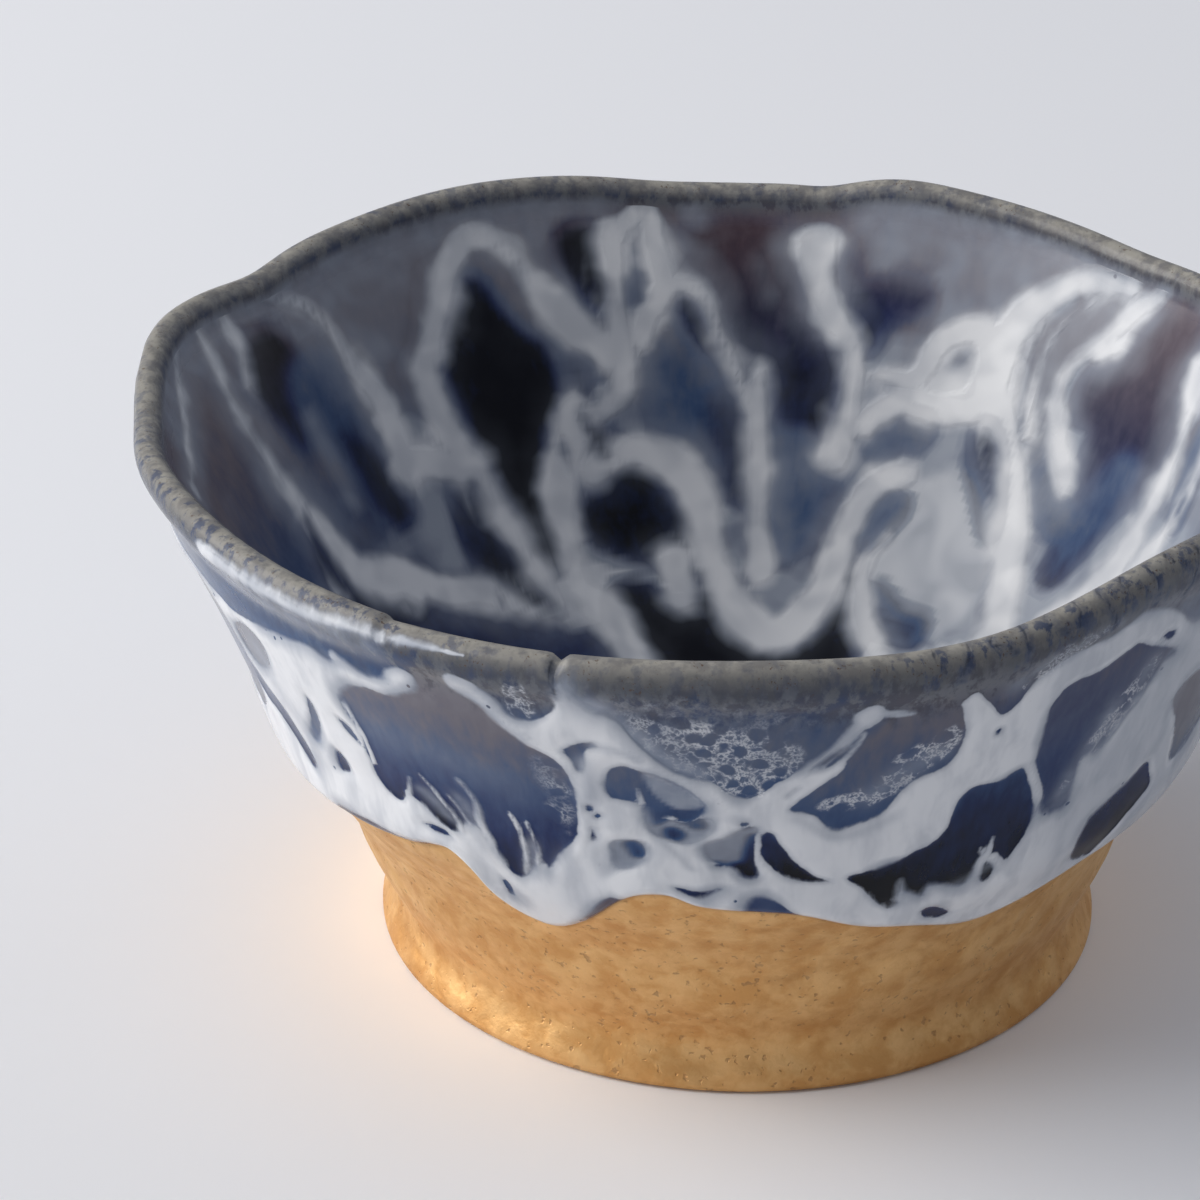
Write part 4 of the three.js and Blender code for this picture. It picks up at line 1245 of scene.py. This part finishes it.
class Graph:
    """A material's nodes."""

    def __init__(self, name: str) -> None:
        """Starts an empty material.

        Args:
            name: The material's name.
        """
        self.material = bpy.data.materials.new(name)
        self.material.use_nodes = True
        self.material.node_tree.nodes.clear()
        self._attributes: dict[Layer, Wire] = {}

    def add(
        self,
        kind: str,
        settings: dict[str, Any] | None = None,
        sockets: dict[str | int, Any] | None = None,
        output: str | int = 0,
    ) -> Wire | None:
        """Adds a node.

        Args:
            kind: The node's type, without its "ShaderNode".
            settings: What is set on the node first. A ramp's "stops" are pairs of a place and a colour.
            sockets: The value or the wire of each input that isn't left alone.
            output: The output to hand on.

        Returns:
            The output, or nothing from a node that has none.
        """
        tree = self.material.node_tree
        node = tree.nodes.new("ShaderNode" + kind)
        for name, value in (settings or {}).items():
            if name == "stops":
                self._set_stops(node.color_ramp, value)
            else:
                setattr(node, name, value)
        for name, value in (sockets or {}).items():
            if isinstance(value, Wire):
                tree.links.new(value.socket, node.inputs[name])
            else:
                node.inputs[name].default_value = value
        return Wire(self, node.outputs[output]) if node.outputs else None

    @staticmethod
    def _set_stops(ramp: bpy.types.ColorRamp, stops: Sequence[tuple[float, Colour]]) -> None:
        """Sets a ramp's stops.

        Args:
            ramp: The ramp.
            stops: Pairs of a place and the colour there, in order.
        """
        while len(ramp.elements) > 1:
            ramp.elements.remove(ramp.elements[-1])
        for index, (place, colour) in enumerate(stops):
            stop = ramp.elements[0] if index == 0 else ramp.elements.new(place)
            stop.position = place
            stop.color = paint(colour)

    def math(self, operation: str, *values: "Wire | float") -> Wire:
        """Adds a Math node."""
        return self.add("Math", {"operation": operation}, dict(enumerate(values)))

    def position(self) -> Wire:
        """A point's place on the piece, in millimetres."""
        place = self.add("TexCoord", output="Object")
        return self.stretch(place, (1 / MM, 1 / MM, 1 / MM))

    def stretch(self, vector: Wire, scale: tuple[float, float, float]) -> Wire:
        """A vector, scaled along each axis."""
        return self.add("VectorMath", {"operation": "MULTIPLY"}, {0: vector, 1: scale})

    def bend(self, vector: Wire, push: Wire, amount: float) -> Wire:
        """A vector, pushed aside by a coloured noise.

        Args:
            vector: The vector.
            push: The noise.
            amount: How far it is pushed at most, in millimetres.

        Returns:
            The pushed vector.
        """
        centred = self.add("VectorMath", {"operation": "SUBTRACT"}, {0: push, 1: (0.5, 0.5, 0.5)})
        pushed = self.add("VectorMath", {"operation": "SCALE"}, {0: centred, "Scale": amount})
        return self.add("VectorMath", {"operation": "ADD"}, {0: vector, 1: pushed})

    def noise(
        self, vector: Wire, size: float, detail: float = 2, roughness: float = 0.5, output: str = "Fac"
    ) -> Wire:
        """A soft noise whose lumps are about as wide as size, in millimetres."""
        sockets = {"Vector": vector, "Scale": 1 / size, "Detail": detail, "Roughness": roughness}
        return self.add("TexNoise", {"noise_dimensions": "3D"}, sockets, output)

    def cells(self, vector: Wire, size: float, feature: str = "DISTANCE_TO_EDGE") -> Wire:
        """The distance to the nearest wall or middle of cells that are about as wide as size."""
        sockets = {"Vector": vector, "Scale": 1 / size, "Randomness": 1.0}
        return self.add("TexVoronoi", {"feature": feature}, sockets, "Distance")

    def smooth(self, value: Wire, low: "Wire | float", high: "Wire | float") -> Wire:
        """Zero below low, one above high, and a soft rise between them."""
        sockets = {"Value": value, "From Min": low, "From Max": high}
        return self.add("MapRange", {"interpolation_type": "SMOOTHSTEP"}, sockets)

    def mix(self, share: "Wire | float", first: "Wire | Colour", second: "Wire | Colour") -> Wire:
        """A colour between two.

        Args:
            share: The second colour's share.
            first: The colour where the share is 0.
            second: The colour where it is 1.

        Returns:
            The mixed colour.
        """
        colours = [value if isinstance(value, Wire) else paint(value) for value in (first, second)]
        sockets = {0: share, 6: colours[0], 7: colours[1]}
        return self.add("Mix", {"data_type": "RGBA", "clamp_factor": True}, sockets, 2)

    def ramp(self, value: Wire, stops: Sequence[tuple[float, Colour]]) -> Wire:
        """A colour that goes from stop to stop."""
        return self.add("ValToRGB", {"stops": stops}, {"Fac": value}, "Color")

    def layer(self, layer: Layer) -> Wire:
        """A field that was painted on the wall.

        Args:
            layer: Which field.

        Returns:
            Its value.
        """
        if layer not in self._attributes:
            self._attributes[layer] = self.add("Attribute", {"attribute_name": layer.value}, output="Fac")
        return self._attributes[layer]

    def surface(self, sockets: dict[str, Any]) -> bpy.types.Material:
        """Ends the graph with a surface shader.

        Args:
            sockets: The shader's inputs.

        Returns:
            The finished material.
        """
        shader = self.add("BsdfPrincipled", sockets=sockets)
        self.add("OutputMaterial", sockets={"Surface": shader})
        return self.material

    def bump(self, height: Wire, strength: float = 1.0) -> Wire:
        """A relief that is given in millimetres."""
        sockets = {"Height": height, "Distance": MM, "Strength": strength}
        return self.add("Bump", sockets=sockets, output="Normal")


def paint(colour: Colour) -> tuple[float, float, float, float]:
    """A screen colour, from 0 to 255, as the linear colour that a node takes."""
    linear = [(c / 255 / 12.92) if c <= 10 else ((c / 255 + 0.055) / 1.055) ** 2.4 for c in colour]
    return (*linear, 1.0)


@dataclass(frozen=True)
class GlazeFinish:
    """A glossy glaze: milky white ribbons over a dark ground that pools from grey to navy.

    Attributes:
        thick: The white where it lies thick.
        thin: The white where it lies thin, and where painted shade greys it on the outer wall.
        piled: The white where ribbons have run together inside.
        ground: The ground's colours, from shallow to deep, where it is blue.
        warm_ground: The same where it is mauve.
        brown_ground: The same where it is brown.
        lip: The bare-looking colour of the lip.
        lip_shade: Its darker patches.
        lip_low: Its outer side, lower down.
        band: The mottled band under the lip, where it is blue.
        band_warm: The same where it is grey.
        band_light: Its lighter patches.
        crack: The splits in the lip.
        speck: The iron specks.
    """

    thick: Colour = (222, 224, 228)
    thin: Colour = (146, 154, 168)
    piled: Colour = (238, 240, 243)
    ground: tuple[tuple[float, Colour], ...] = (
        (0.0, (126, 134, 148)),
        (0.3, (94, 104, 122)),
        (0.55, (48, 76, 116)),
        (0.77, (18, 36, 76)),
        (1.0, (3, 6, 16)),
    )
    warm_ground: tuple[tuple[float, Colour], ...] = (
        (0.0, (128, 126, 134)),
        (0.3, (106, 103, 112)),
        (0.5, (66, 82, 114)),
        (0.75, (28, 43, 88)),
        (1.0, (7, 10, 28)),
    )
    brown_ground: tuple[tuple[float, Colour], ...] = (
        (0.0, (130, 124, 130)),
        (0.3, (104, 90, 95)),
        (0.6, (72, 54, 58)),
        (0.8, (32, 27, 36)),
        (1.0, (3, 4, 10)),
    )
    lip: Colour = (160, 157, 149)
    lip_shade: Colour = (124, 122, 119)
    lip_low: Colour = (60, 65, 74)
    band: Colour = (40, 58, 92)
    band_warm: Colour = (66, 66, 76)
    band_light: Colour = (105, 108, 113)
    crack: Colour = (46, 52, 66)
    speck: Colour = (84, 62, 46)

    def material(self, side: Side) -> bpy.types.Material:
        """Builds the glaze's material for one side from the painted fields.

        Args:
            side: The side, which leaves out what doesn't show there.

        Returns:
            The material.
        """
        g = Graph(side.value)
        deep = side is Side.DEEP
        p = g.position()
        swirl = g.noise(p, 3.0, 2, output="Color")
        q = g.bend(p, swirl, 1.2)
        tall = g.stretch(q, (1, 1, 0.22))
        # How far the point is inside the bowl, and the noises
        inside = float(deep)
        if side is Side.TURNING:
            inside = 1 - g.smooth(g.layer(Layer.RIM), -TURN_END, -TURN_START)
        outer = 1 - inside
        flow = g.layer(Layer.FLOW)
        fine = g.noise(q, 0.6, 3) - 0.5
        streak = g.noise(g.stretch(q, (1, 1, 0.2)), 0.7, 3, 0.5) - 0.5
        drawn = g.noise(tall, 2.2, 3, 0.55)
        marble = g.smooth(g.noise(g.bend(p, g.noise(p, 5.0, 0, output="Color"), 3.5), 3.4, 1), 0.3, 0.7)
        tone = drawn * outer + (0.34 + 0.26 * marble) * inside
        patch = g.noise(p, 6.0, 2)
        # The white: its painted border, swayed, frayed and softened
        fray = g.smooth(g.layer(Layer.LOW), 0.55, 1.0) * outer
        ragged = (fine * 0.2 + streak * (0.15 + 0.9 * fray)) * outer
        broad = g.noise(q, 4.5, 2) - 0.5
        sway = (g.noise(q, 2.6, 1) - 0.5) * 0.4 * outer + (broad * 2.8 + (drawn - 0.5) * 0.3) * inside
        edge = flow + 0.5 * inside + sway + ragged
        edge = edge - self.pinholes(g, q, edge, patch) * outer
        soft = 0.08 + 0.26 * g.smooth(patch, 0.46, 0.68) + 0.25 * fray + (0.6 * outer) * g.layer(Layer.VEIL)
        soft = soft + 0.9 * inside
        white = g.smooth(edge, 0.0 - soft, soft)
        # The thin white: haloes, veils and foam
        shallow = 1 - 0.85 * g.smooth(g.layer(Layer.DEPTH), 0.6, 0.95)
        halo = g.smooth(edge, -2.8, 0.6) * (0.15 + 0.9 * tone) * inside * shallow
        veil = self.veil(g, q, marble, inside)
        lace = 0.0 if deep else self.lace(g, q)
        thin = g.math("MAXIMUM", g.math("MAXIMUM", halo, veil), lace)
        # The colours, from the dark ground up
        ground = self.ground_colour(g, q, streak)
        near_lip = side in (Side.OUTER, Side.TURNING)
        if near_lip:
            ground = self.band_colour(g, p, ground)
        milk = self.milk_colour(g, g.math("MAXIMUM", edge, lace * 1.2 - 0.3), tone, patch, inside)
        piled = g.smooth(g.layer(Layer.VEIL), 0.9, 1.6) * inside * (0.45 + 0.55 * marble)
        milk = g.mix(piled, milk, self.piled)
        colour = g.mix(g.math("MAXIMUM", white, thin), ground, milk)
        # The relief and the gloss
        laid = g.smooth(flow + (g.noise(p, 1.2, 2) - 0.5) * 0.5, -0.2, 0.3)
        relief = laid * 0.05 + g.noise(p, 1.6, 1) * 0.02
        rough = 0.12 + g.noise(q, 1.2, 2) * 0.06 + inside * 0.24
        # The lip, its splits and its grain
        if near_lip:
            rim = g.layer(Layer.RIM)
            lip = self.lip_share(g, p) * (1 - white)
            stained = (1 - white) * g.smooth(patch, 0.35, 0.6)
            colour = self.split_colour(g, self.lip_colour(g, p, colour, lip), fine, stained)
            bare = (1 - g.smooth(rim, 0.4, 2.6)) * g.smooth(rim, -2.0, -0.2)
            split = g.smooth(g.layer(Layer.CRACK), -0.1, 0.12)
            relief = relief + bare * g.noise(p, 0.5, 2) * 0.03 - split * 0.06
            rough = rough + lip * 0.14
        return g.surface({
            "Base Color": colour,
            "Roughness": rough,
            "Normal": g.bump(relief),
            "IOR": 1.45,
            "Specular IOR Level": 0.2,
        })

    def pinholes(self, g: Graph, q: Wire, edge: Wire, patch: Wire) -> Wire:
        """How much the white is opened by small round holes, in places and near its border.

        Args:
            g: The material's graph.
            q: The same, bent by a noise.
            edge: How far the point is inside the white's border.
            patch: A broad noise.

        Returns:
            What they take from the distance.
        """
        hole = 1 - g.smooth(g.cells(q, 1.3, "F1"), 0.06, 0.16)
        near = g.smooth(edge, 0.0, 0.2) * (1 - g.smooth(edge, 0.5, 1.2))
        return hole * near * g.smooth(patch, 0.53, 0.6) * 1.3

    def veil(self, g: Graph, q: Wire, marble: Wire, inside: Wire) -> Wire:
        """The share of thin, milky glaze: cloudy outside, and swirled inside.

        Args:
            g: The material's graph.
            q: The same, bent by a noise.
            marble: A swirled noise, from 0 to 1.
            inside: How much the point belongs to the bowl's inside.

        Returns:
            The share, from 0 to 1.
        """
        clouds = g.noise(q, 1.6, 2)
        swirls = clouds * (1 - inside) + (0.26 + 0.42 * marble) * inside
        return g.math("MINIMUM", g.layer(Layer.VEIL) * (0.3 + 1.4 * swirls), 0.94)

    def lace(self, g: Graph, q: Wire) -> Wire:
        """The share of white foam that bubbles left, with dark round holes where the glaze ran low.

        Args:
            g: The material's graph.
            q: The same, bent by a noise.

        Returns:
            The share, from 0 to 1.
        """
        warped = g.bend(q, g.noise(q, 0.6, 2, output="Color"), 0.25)
        lace = g.layer(Layer.LACE)
        amount = lace + (g.noise(q, 1.8, 2) - 0.5) * 1.2 * g.smooth(lace, 0.0, 0.3)
        wide = g.cells(warped, 1.15, "F1") + (g.noise(q, 1.5, 1) - 0.5) * 0.5
        small = g.cells(warped, 0.42, "F1") + (g.noise(q, 0.9, 1) - 0.5) * 0.9
        net = g.smooth(wide, 0.34, 0.52) * (0.25 + 0.75 * g.smooth(small, 0.22, 0.5))
        speck = g.smooth(g.noise(q, 0.16, 2), 0.36, 0.6)
        return net * (0.4 + 0.6 * speck) * g.smooth(amount, 0.15, 0.9) * 0.72

    def ground_colour(self, g: Graph, q: Wire, streak: Wire) -> Wire:
        """The dark ground, from its depth and its warmth.

        Args:
            g: The material's graph.
            q: The same, bent by a noise.
            streak: A streaky noise around zero.

        Returns:
            The colour.
        """
        depth = g.layer(Layer.DEPTH) + streak * 0.22 + (g.noise(q, 3.5, 2) - 0.5) * 0.25
        warmth = g.layer(Layer.WARMTH)
        cool = g.ramp(depth, self.ground)
        mauve = g.mix(warmth, cool, g.ramp(depth, self.warm_ground))
        return g.mix(warmth - 1.0, mauve, g.ramp(depth, self.brown_ground))

    def milk_colour(self, g: Graph, edge: Wire, tone: Wire, patch: Wire, inside: Wire) -> Wire:
        """The white, greyer where it lies thin, and greyer where the veil field lies on it on the outer wall,
        which is partly painted shade.

        Args:
            g: The material's graph.
            edge: How far the point is inside the white's border.
            tone: How thick the white lies.
            patch: A broad noise.
            inside: How much the point belongs to the bowl's inside.

        Returns:
            The colour.
        """
        reach = 0.5 + 1.3 * g.smooth(patch, 0.42, 0.66) * (1 - inside) + 0.8 * inside
        # On the outer wall the veil field greys the white: partly thin glaze, partly painted shade laid over
        # the white.
        body = g.smooth(edge, -0.4, reach) * (1 - 0.75 * g.layer(Layer.VEIL) * (1 - inside))
        return g.mix(body * (0.6 + 0.4 * g.smooth(tone, 0.3, 0.6)), self.thin, self.thick)

    def split_colour(self, g: Graph, colour: Wire, fine: Wire, stained: Wire) -> Wire:
        """Draws the splits in the lip over a colour, with a blue stain beside them.

        Args:
            g: The material's graph.
            colour: The colour under them.
            fine: A fine noise around zero.
            stained: How much the stain shows.

        Returns:
            The colour.
        """
        split = g.layer(Layer.CRACK)
        vein = g.smooth(split + fine * 1.6, -0.5, 0.1) * stained
        crack = g.smooth(split + fine * 0.5, -0.1, 0.12)
        return g.mix(crack * 0.7, g.mix(vein * 0.5, colour, self.band), self.crack)

    def lip_share(self, g: Graph, p: Wire) -> Wire:
        """How much a point belongs to the lip, where the glaze has run thin.

        Args:
            g: The material's graph.
            p: The point's place on the piece.

        Returns:
            The share, from 0 to 1.
        """
        wander = g.noise(g.stretch(p, (1, 1, 0.4)), 1.5, 4, 0.6) - 0.5
        rim = g.layer(Layer.RIM) + wander * 4.2
        return (1 - g.smooth(rim, 0.8, 3.6)) * g.smooth(g.layer(Layer.RIM), -2.0, -0.2)

    def band_colour(self, g: Graph, p: Wire, ground: Wire) -> Wire:
        """Mottles the dark ground just under the lip, in slate, grey and blue.

        Args:
            g: The material's graph.
            p: The point's place on the piece.
            ground: The ground's colour.

        Returns:
            The colour.
        """
        rim = g.layer(Layer.RIM)
        mottle = g.noise(g.stretch(p, (1, 1, 0.6)), 1.0, 5, 0.65)
        near = (1 - g.smooth(rim + (mottle - 0.5) * 4.0, 3.2, 6.0)) * g.smooth(rim, -3.0, -1.5)
        hue = g.smooth(g.noise(p, 2.4, 2) + g.layer(Layer.WARMTH) * 0.5, 0.5, 0.85)
        dark = g.mix(hue, self.band, self.band_warm)
        light = g.smooth(mottle + (g.layer(Layer.WARMTH) - 0.4) * 0.1, 0.45, 0.62)
        shade = g.mix(light, dark, self.band_light)
        return g.mix(near * 0.8, ground, shade)

    def lip_colour(self, g: Graph, p: Wire, colour: Wire, lip: Wire) -> Wire:
        """Lays the lip's beige and its specks over a colour.

        Args:
            g: The material's graph.
            p: The point's place on the piece.
            colour: The colour under them.
            lip: How much the point belongs to the lip.

        Returns:
            The colour.
        """
        mottle = g.noise(p, 1.2, 4, 0.6)
        beige = g.mix(g.smooth(mottle, 0.38, 0.64), self.lip_shade, self.lip)
        low = g.smooth(g.layer(Layer.RIM) + (mottle - 0.5) * 3.0, 0.2, 2.2)
        beige = g.mix(low * 0.85, beige, self.lip_low)
        stain = g.smooth(g.noise(g.stretch(p, (1, 1, 0.4)), 0.9, 4, 0.65), 0.5, 0.62)
        bluer = g.smooth(g.noise(p, 16.0, 1), 0.4, 0.58)
        lower = 0.4 + 0.6 * g.smooth(g.layer(Layer.RIM), -0.6, 0.8)
        beige = g.mix(stain * (0.25 + 0.55 * bluer) * lower, beige, self.band)
        worn = g.mix(lip * 0.9, colour, beige)
        cluster = g.smooth(g.noise(p, 1.8, 2), 0.45, 0.6)
        speck = g.smooth(g.noise(p, 0.22, 2, 0.6), 0.61, 0.69) * cluster * (lip * 0.8 + 0.05)
        return g.mix(speck, worn, self.speck)


@dataclass(frozen=True)
class GoldFinish:
    """Gold leaf on rough clay.

    Attributes:
        bright: The leaf where it is clean.
        dull: The leaf where it is rubbed.
        bare: The clay in its pits.
    """

    bright: Colour = (228, 188, 132)
    dull: Colour = (208, 160, 101)
    bare: Colour = (124, 84, 54)

    def material(self) -> bpy.types.Material:
        """Builds the gold's material.

        Returns:
            The material.
        """
        g = Graph("gold_leaf")
        p = g.position()
        warped = g.bend(p, g.noise(p, 3, 2, output="Color"), 1.2)
        wrinkle = g.noise(warped, 1.5, 4, 0.6)
        grain = g.noise(p, 0.2, 3, 0.6)
        patch = g.noise(warped, 3.2, 4, 0.6)
        dents = g.noise(g.bend(p, g.noise(p, 4, 1, output="Color"), 3.0), 4.2, 1)
        cluster = g.smooth(g.noise(p, 2.4, 2), 0.4, 0.65)
        pit = g.smooth(g.noise(p, 0.5, 2, 0.5) + cluster * 0.07, 0.66, 0.76)
        leaf = g.mix(g.smooth(patch * 0.55 + wrinkle * 0.45, 0.38, 0.62), self.dull, self.bright)
        colour = g.mix(pit * 0.35, leaf, self.bare)
        near_edge = 1 - g.smooth(g.layer(Layer.EDGE) * -1.0, 0.0, 0.6)
        colour = g.mix(near_edge * 0.5, colour, self.bare)
        relief = wrinkle * 0.1 + patch * 0.14 + dents * 0.55 - pit * 0.05
        return g.surface({
            "Base Color": colour,
            "Metallic": 0.95 - pit * 0.5,
            "Roughness": 0.44 + grain * 0.16 + pit * 0.2 + g.smooth(patch, 0.4, 0.7) * 0.06,
            "Normal": g.bump(relief),
        })


@dataclass(frozen=True)
class FloorFinish:
    """A matt, pale grey floor.

    Attributes:
        colour: Its colour.
    """

    colour: Colour = (235, 237, 242)

    def material(self) -> bpy.types.Material:
        """Builds the floor's plain material."""
        sockets = {"Base Color": paint(self.colour), "Roughness": 0.75, "Specular IOR Level": 0.2}
        return Graph("pale_floor").surface(sockets)


@dataclass
class Studio:
    """The floor, the light and the camera. Lengths are in metres, and powers in watts.

    Attributes:
        floor_radius: The floor's radius.
        key_size: The side of the key light, on the left.
        key_place: Where it hangs.
        key_power: Its power.
        key_colour: Its colour.
        fill_size: The side of the weak fill, on the right.
        fill_place: Where it hangs.
        fill_power: Its power.
        fill_colour: Its colour.
        sky: The colour of the surround.
        sky_strength: Its strength.
        camera_place: Where the camera stands.
        camera_pitch: How far it looks down, in degrees.
        camera_turn: How far it is turned to the left, in degrees.
        focal_pixels: Its focal length, in pixels of the picture.
        photo_width: The picture's width in pixels.
        sensor: The width of its sensor, in millimetres.
        nearest: The nearest distance that it sees.
    """

    floor_radius: float = 4.0
    key_size: float = 0.85
    key_place: Spot = (-0.866, -0.02, 0.5)
    key_power: float = 12.5
    key_colour: Colour = (255, 252, 248)
    fill_size: float = 1.0
    fill_place: Spot = (0.73, 0.42, 0.71)
    fill_power: float = 1.7
    fill_colour: Colour = (240, 244, 255)
    sky: Colour = (226, 229, 236)
    sky_strength: float = 0.36
    camera_place: Spot = (0.001156, -0.255897, 0.157928)
    camera_pitch: float = 27.855
    camera_turn: float = 2.1206
    focal_pixels: float = 4279.9
    photo_width: float = 1200
    sensor: float = 36
    nearest: float = 0.01

    def lay_floor(self) -> None:
        """Lays the floor."""
        bpy.ops.mesh.primitive_circle_add(vertices=96, radius=self.floor_radius, fill_type="NGON")
        floor = bpy.context.object
        floor.name = "floor"
        floor.data.materials.append(FloorFinish().material())

    def hang_light(self, name: str, place: Spot, size: float, power: float, colour: Colour) -> None:
        """Hangs a soft light that faces the cup.

        Args:
            name: The light's name.
            place: Where it hangs.
            size: The side of its square face.
            power: Its power in watts.
            colour: Its colour.
        """
        x, y, z = place
        tilt = math.atan2(math.hypot(x, y), z)
        turn = math.atan2(x, -y)
        bpy.ops.object.light_add(type="AREA", location=place, rotation=(tilt, 0, turn))
        lamp = bpy.context.object
        lamp.name = name
        lamp.data.size = size
        lamp.data.energy = power
        lamp.data.color = paint(colour)[:3]

    def light(self) -> None:
        """Sets the soft light: a key from the left, a weak fill, and a pale surround."""
        self.hang_light("key", self.key_place, self.key_size, self.key_power, self.key_colour)
        self.hang_light("fill", self.fill_place, self.fill_size, self.fill_power, self.fill_colour)
        world = bpy.data.worlds.new("surround")
        world.use_nodes = True
        background = world.node_tree.nodes["Background"]
        background.inputs["Color"].default_value = paint(self.sky)
        background.inputs["Strength"].default_value = self.sky_strength
        bpy.context.scene.world = world

    def place_camera(self) -> None:
        """Places the camera where the picture was taken from."""
        turn = math.radians(self.camera_turn)
        pitch = math.radians(90 - self.camera_pitch)
        bpy.ops.object.camera_add(location=self.camera_place, rotation=(pitch, 0, turn))
        camera = bpy.context.object
        camera.data.sensor_width = self.sensor
        camera.data.lens = self.focal_pixels / self.photo_width * self.sensor
        camera.data.clip_start = self.nearest
        bpy.context.scene.camera = camera

    def build(self) -> None:
        """Sets up the whole studio."""
        self.lay_floor()
        self.light()
        self.place_camera()
        bpy.context.scene.view_settings.view_transform = "Standard"


def main() -> None:
    """Builds the cup and its studio, and reports each piece."""
    logging.basicConfig(level=logging.INFO, format="%(message)s")
    bpy.ops.object.select_all(action="DESELECT")
    cup = Cup().build()
    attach(cup, "root")
    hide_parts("cup")
    LOG.info("%s: %d triangles", cup.name, sum(len(face.vertices) - 2 for face in cup.data.polygons))
    Studio().build()
    LOG.info("studio ready")


if __name__ == "__main__":
    main()
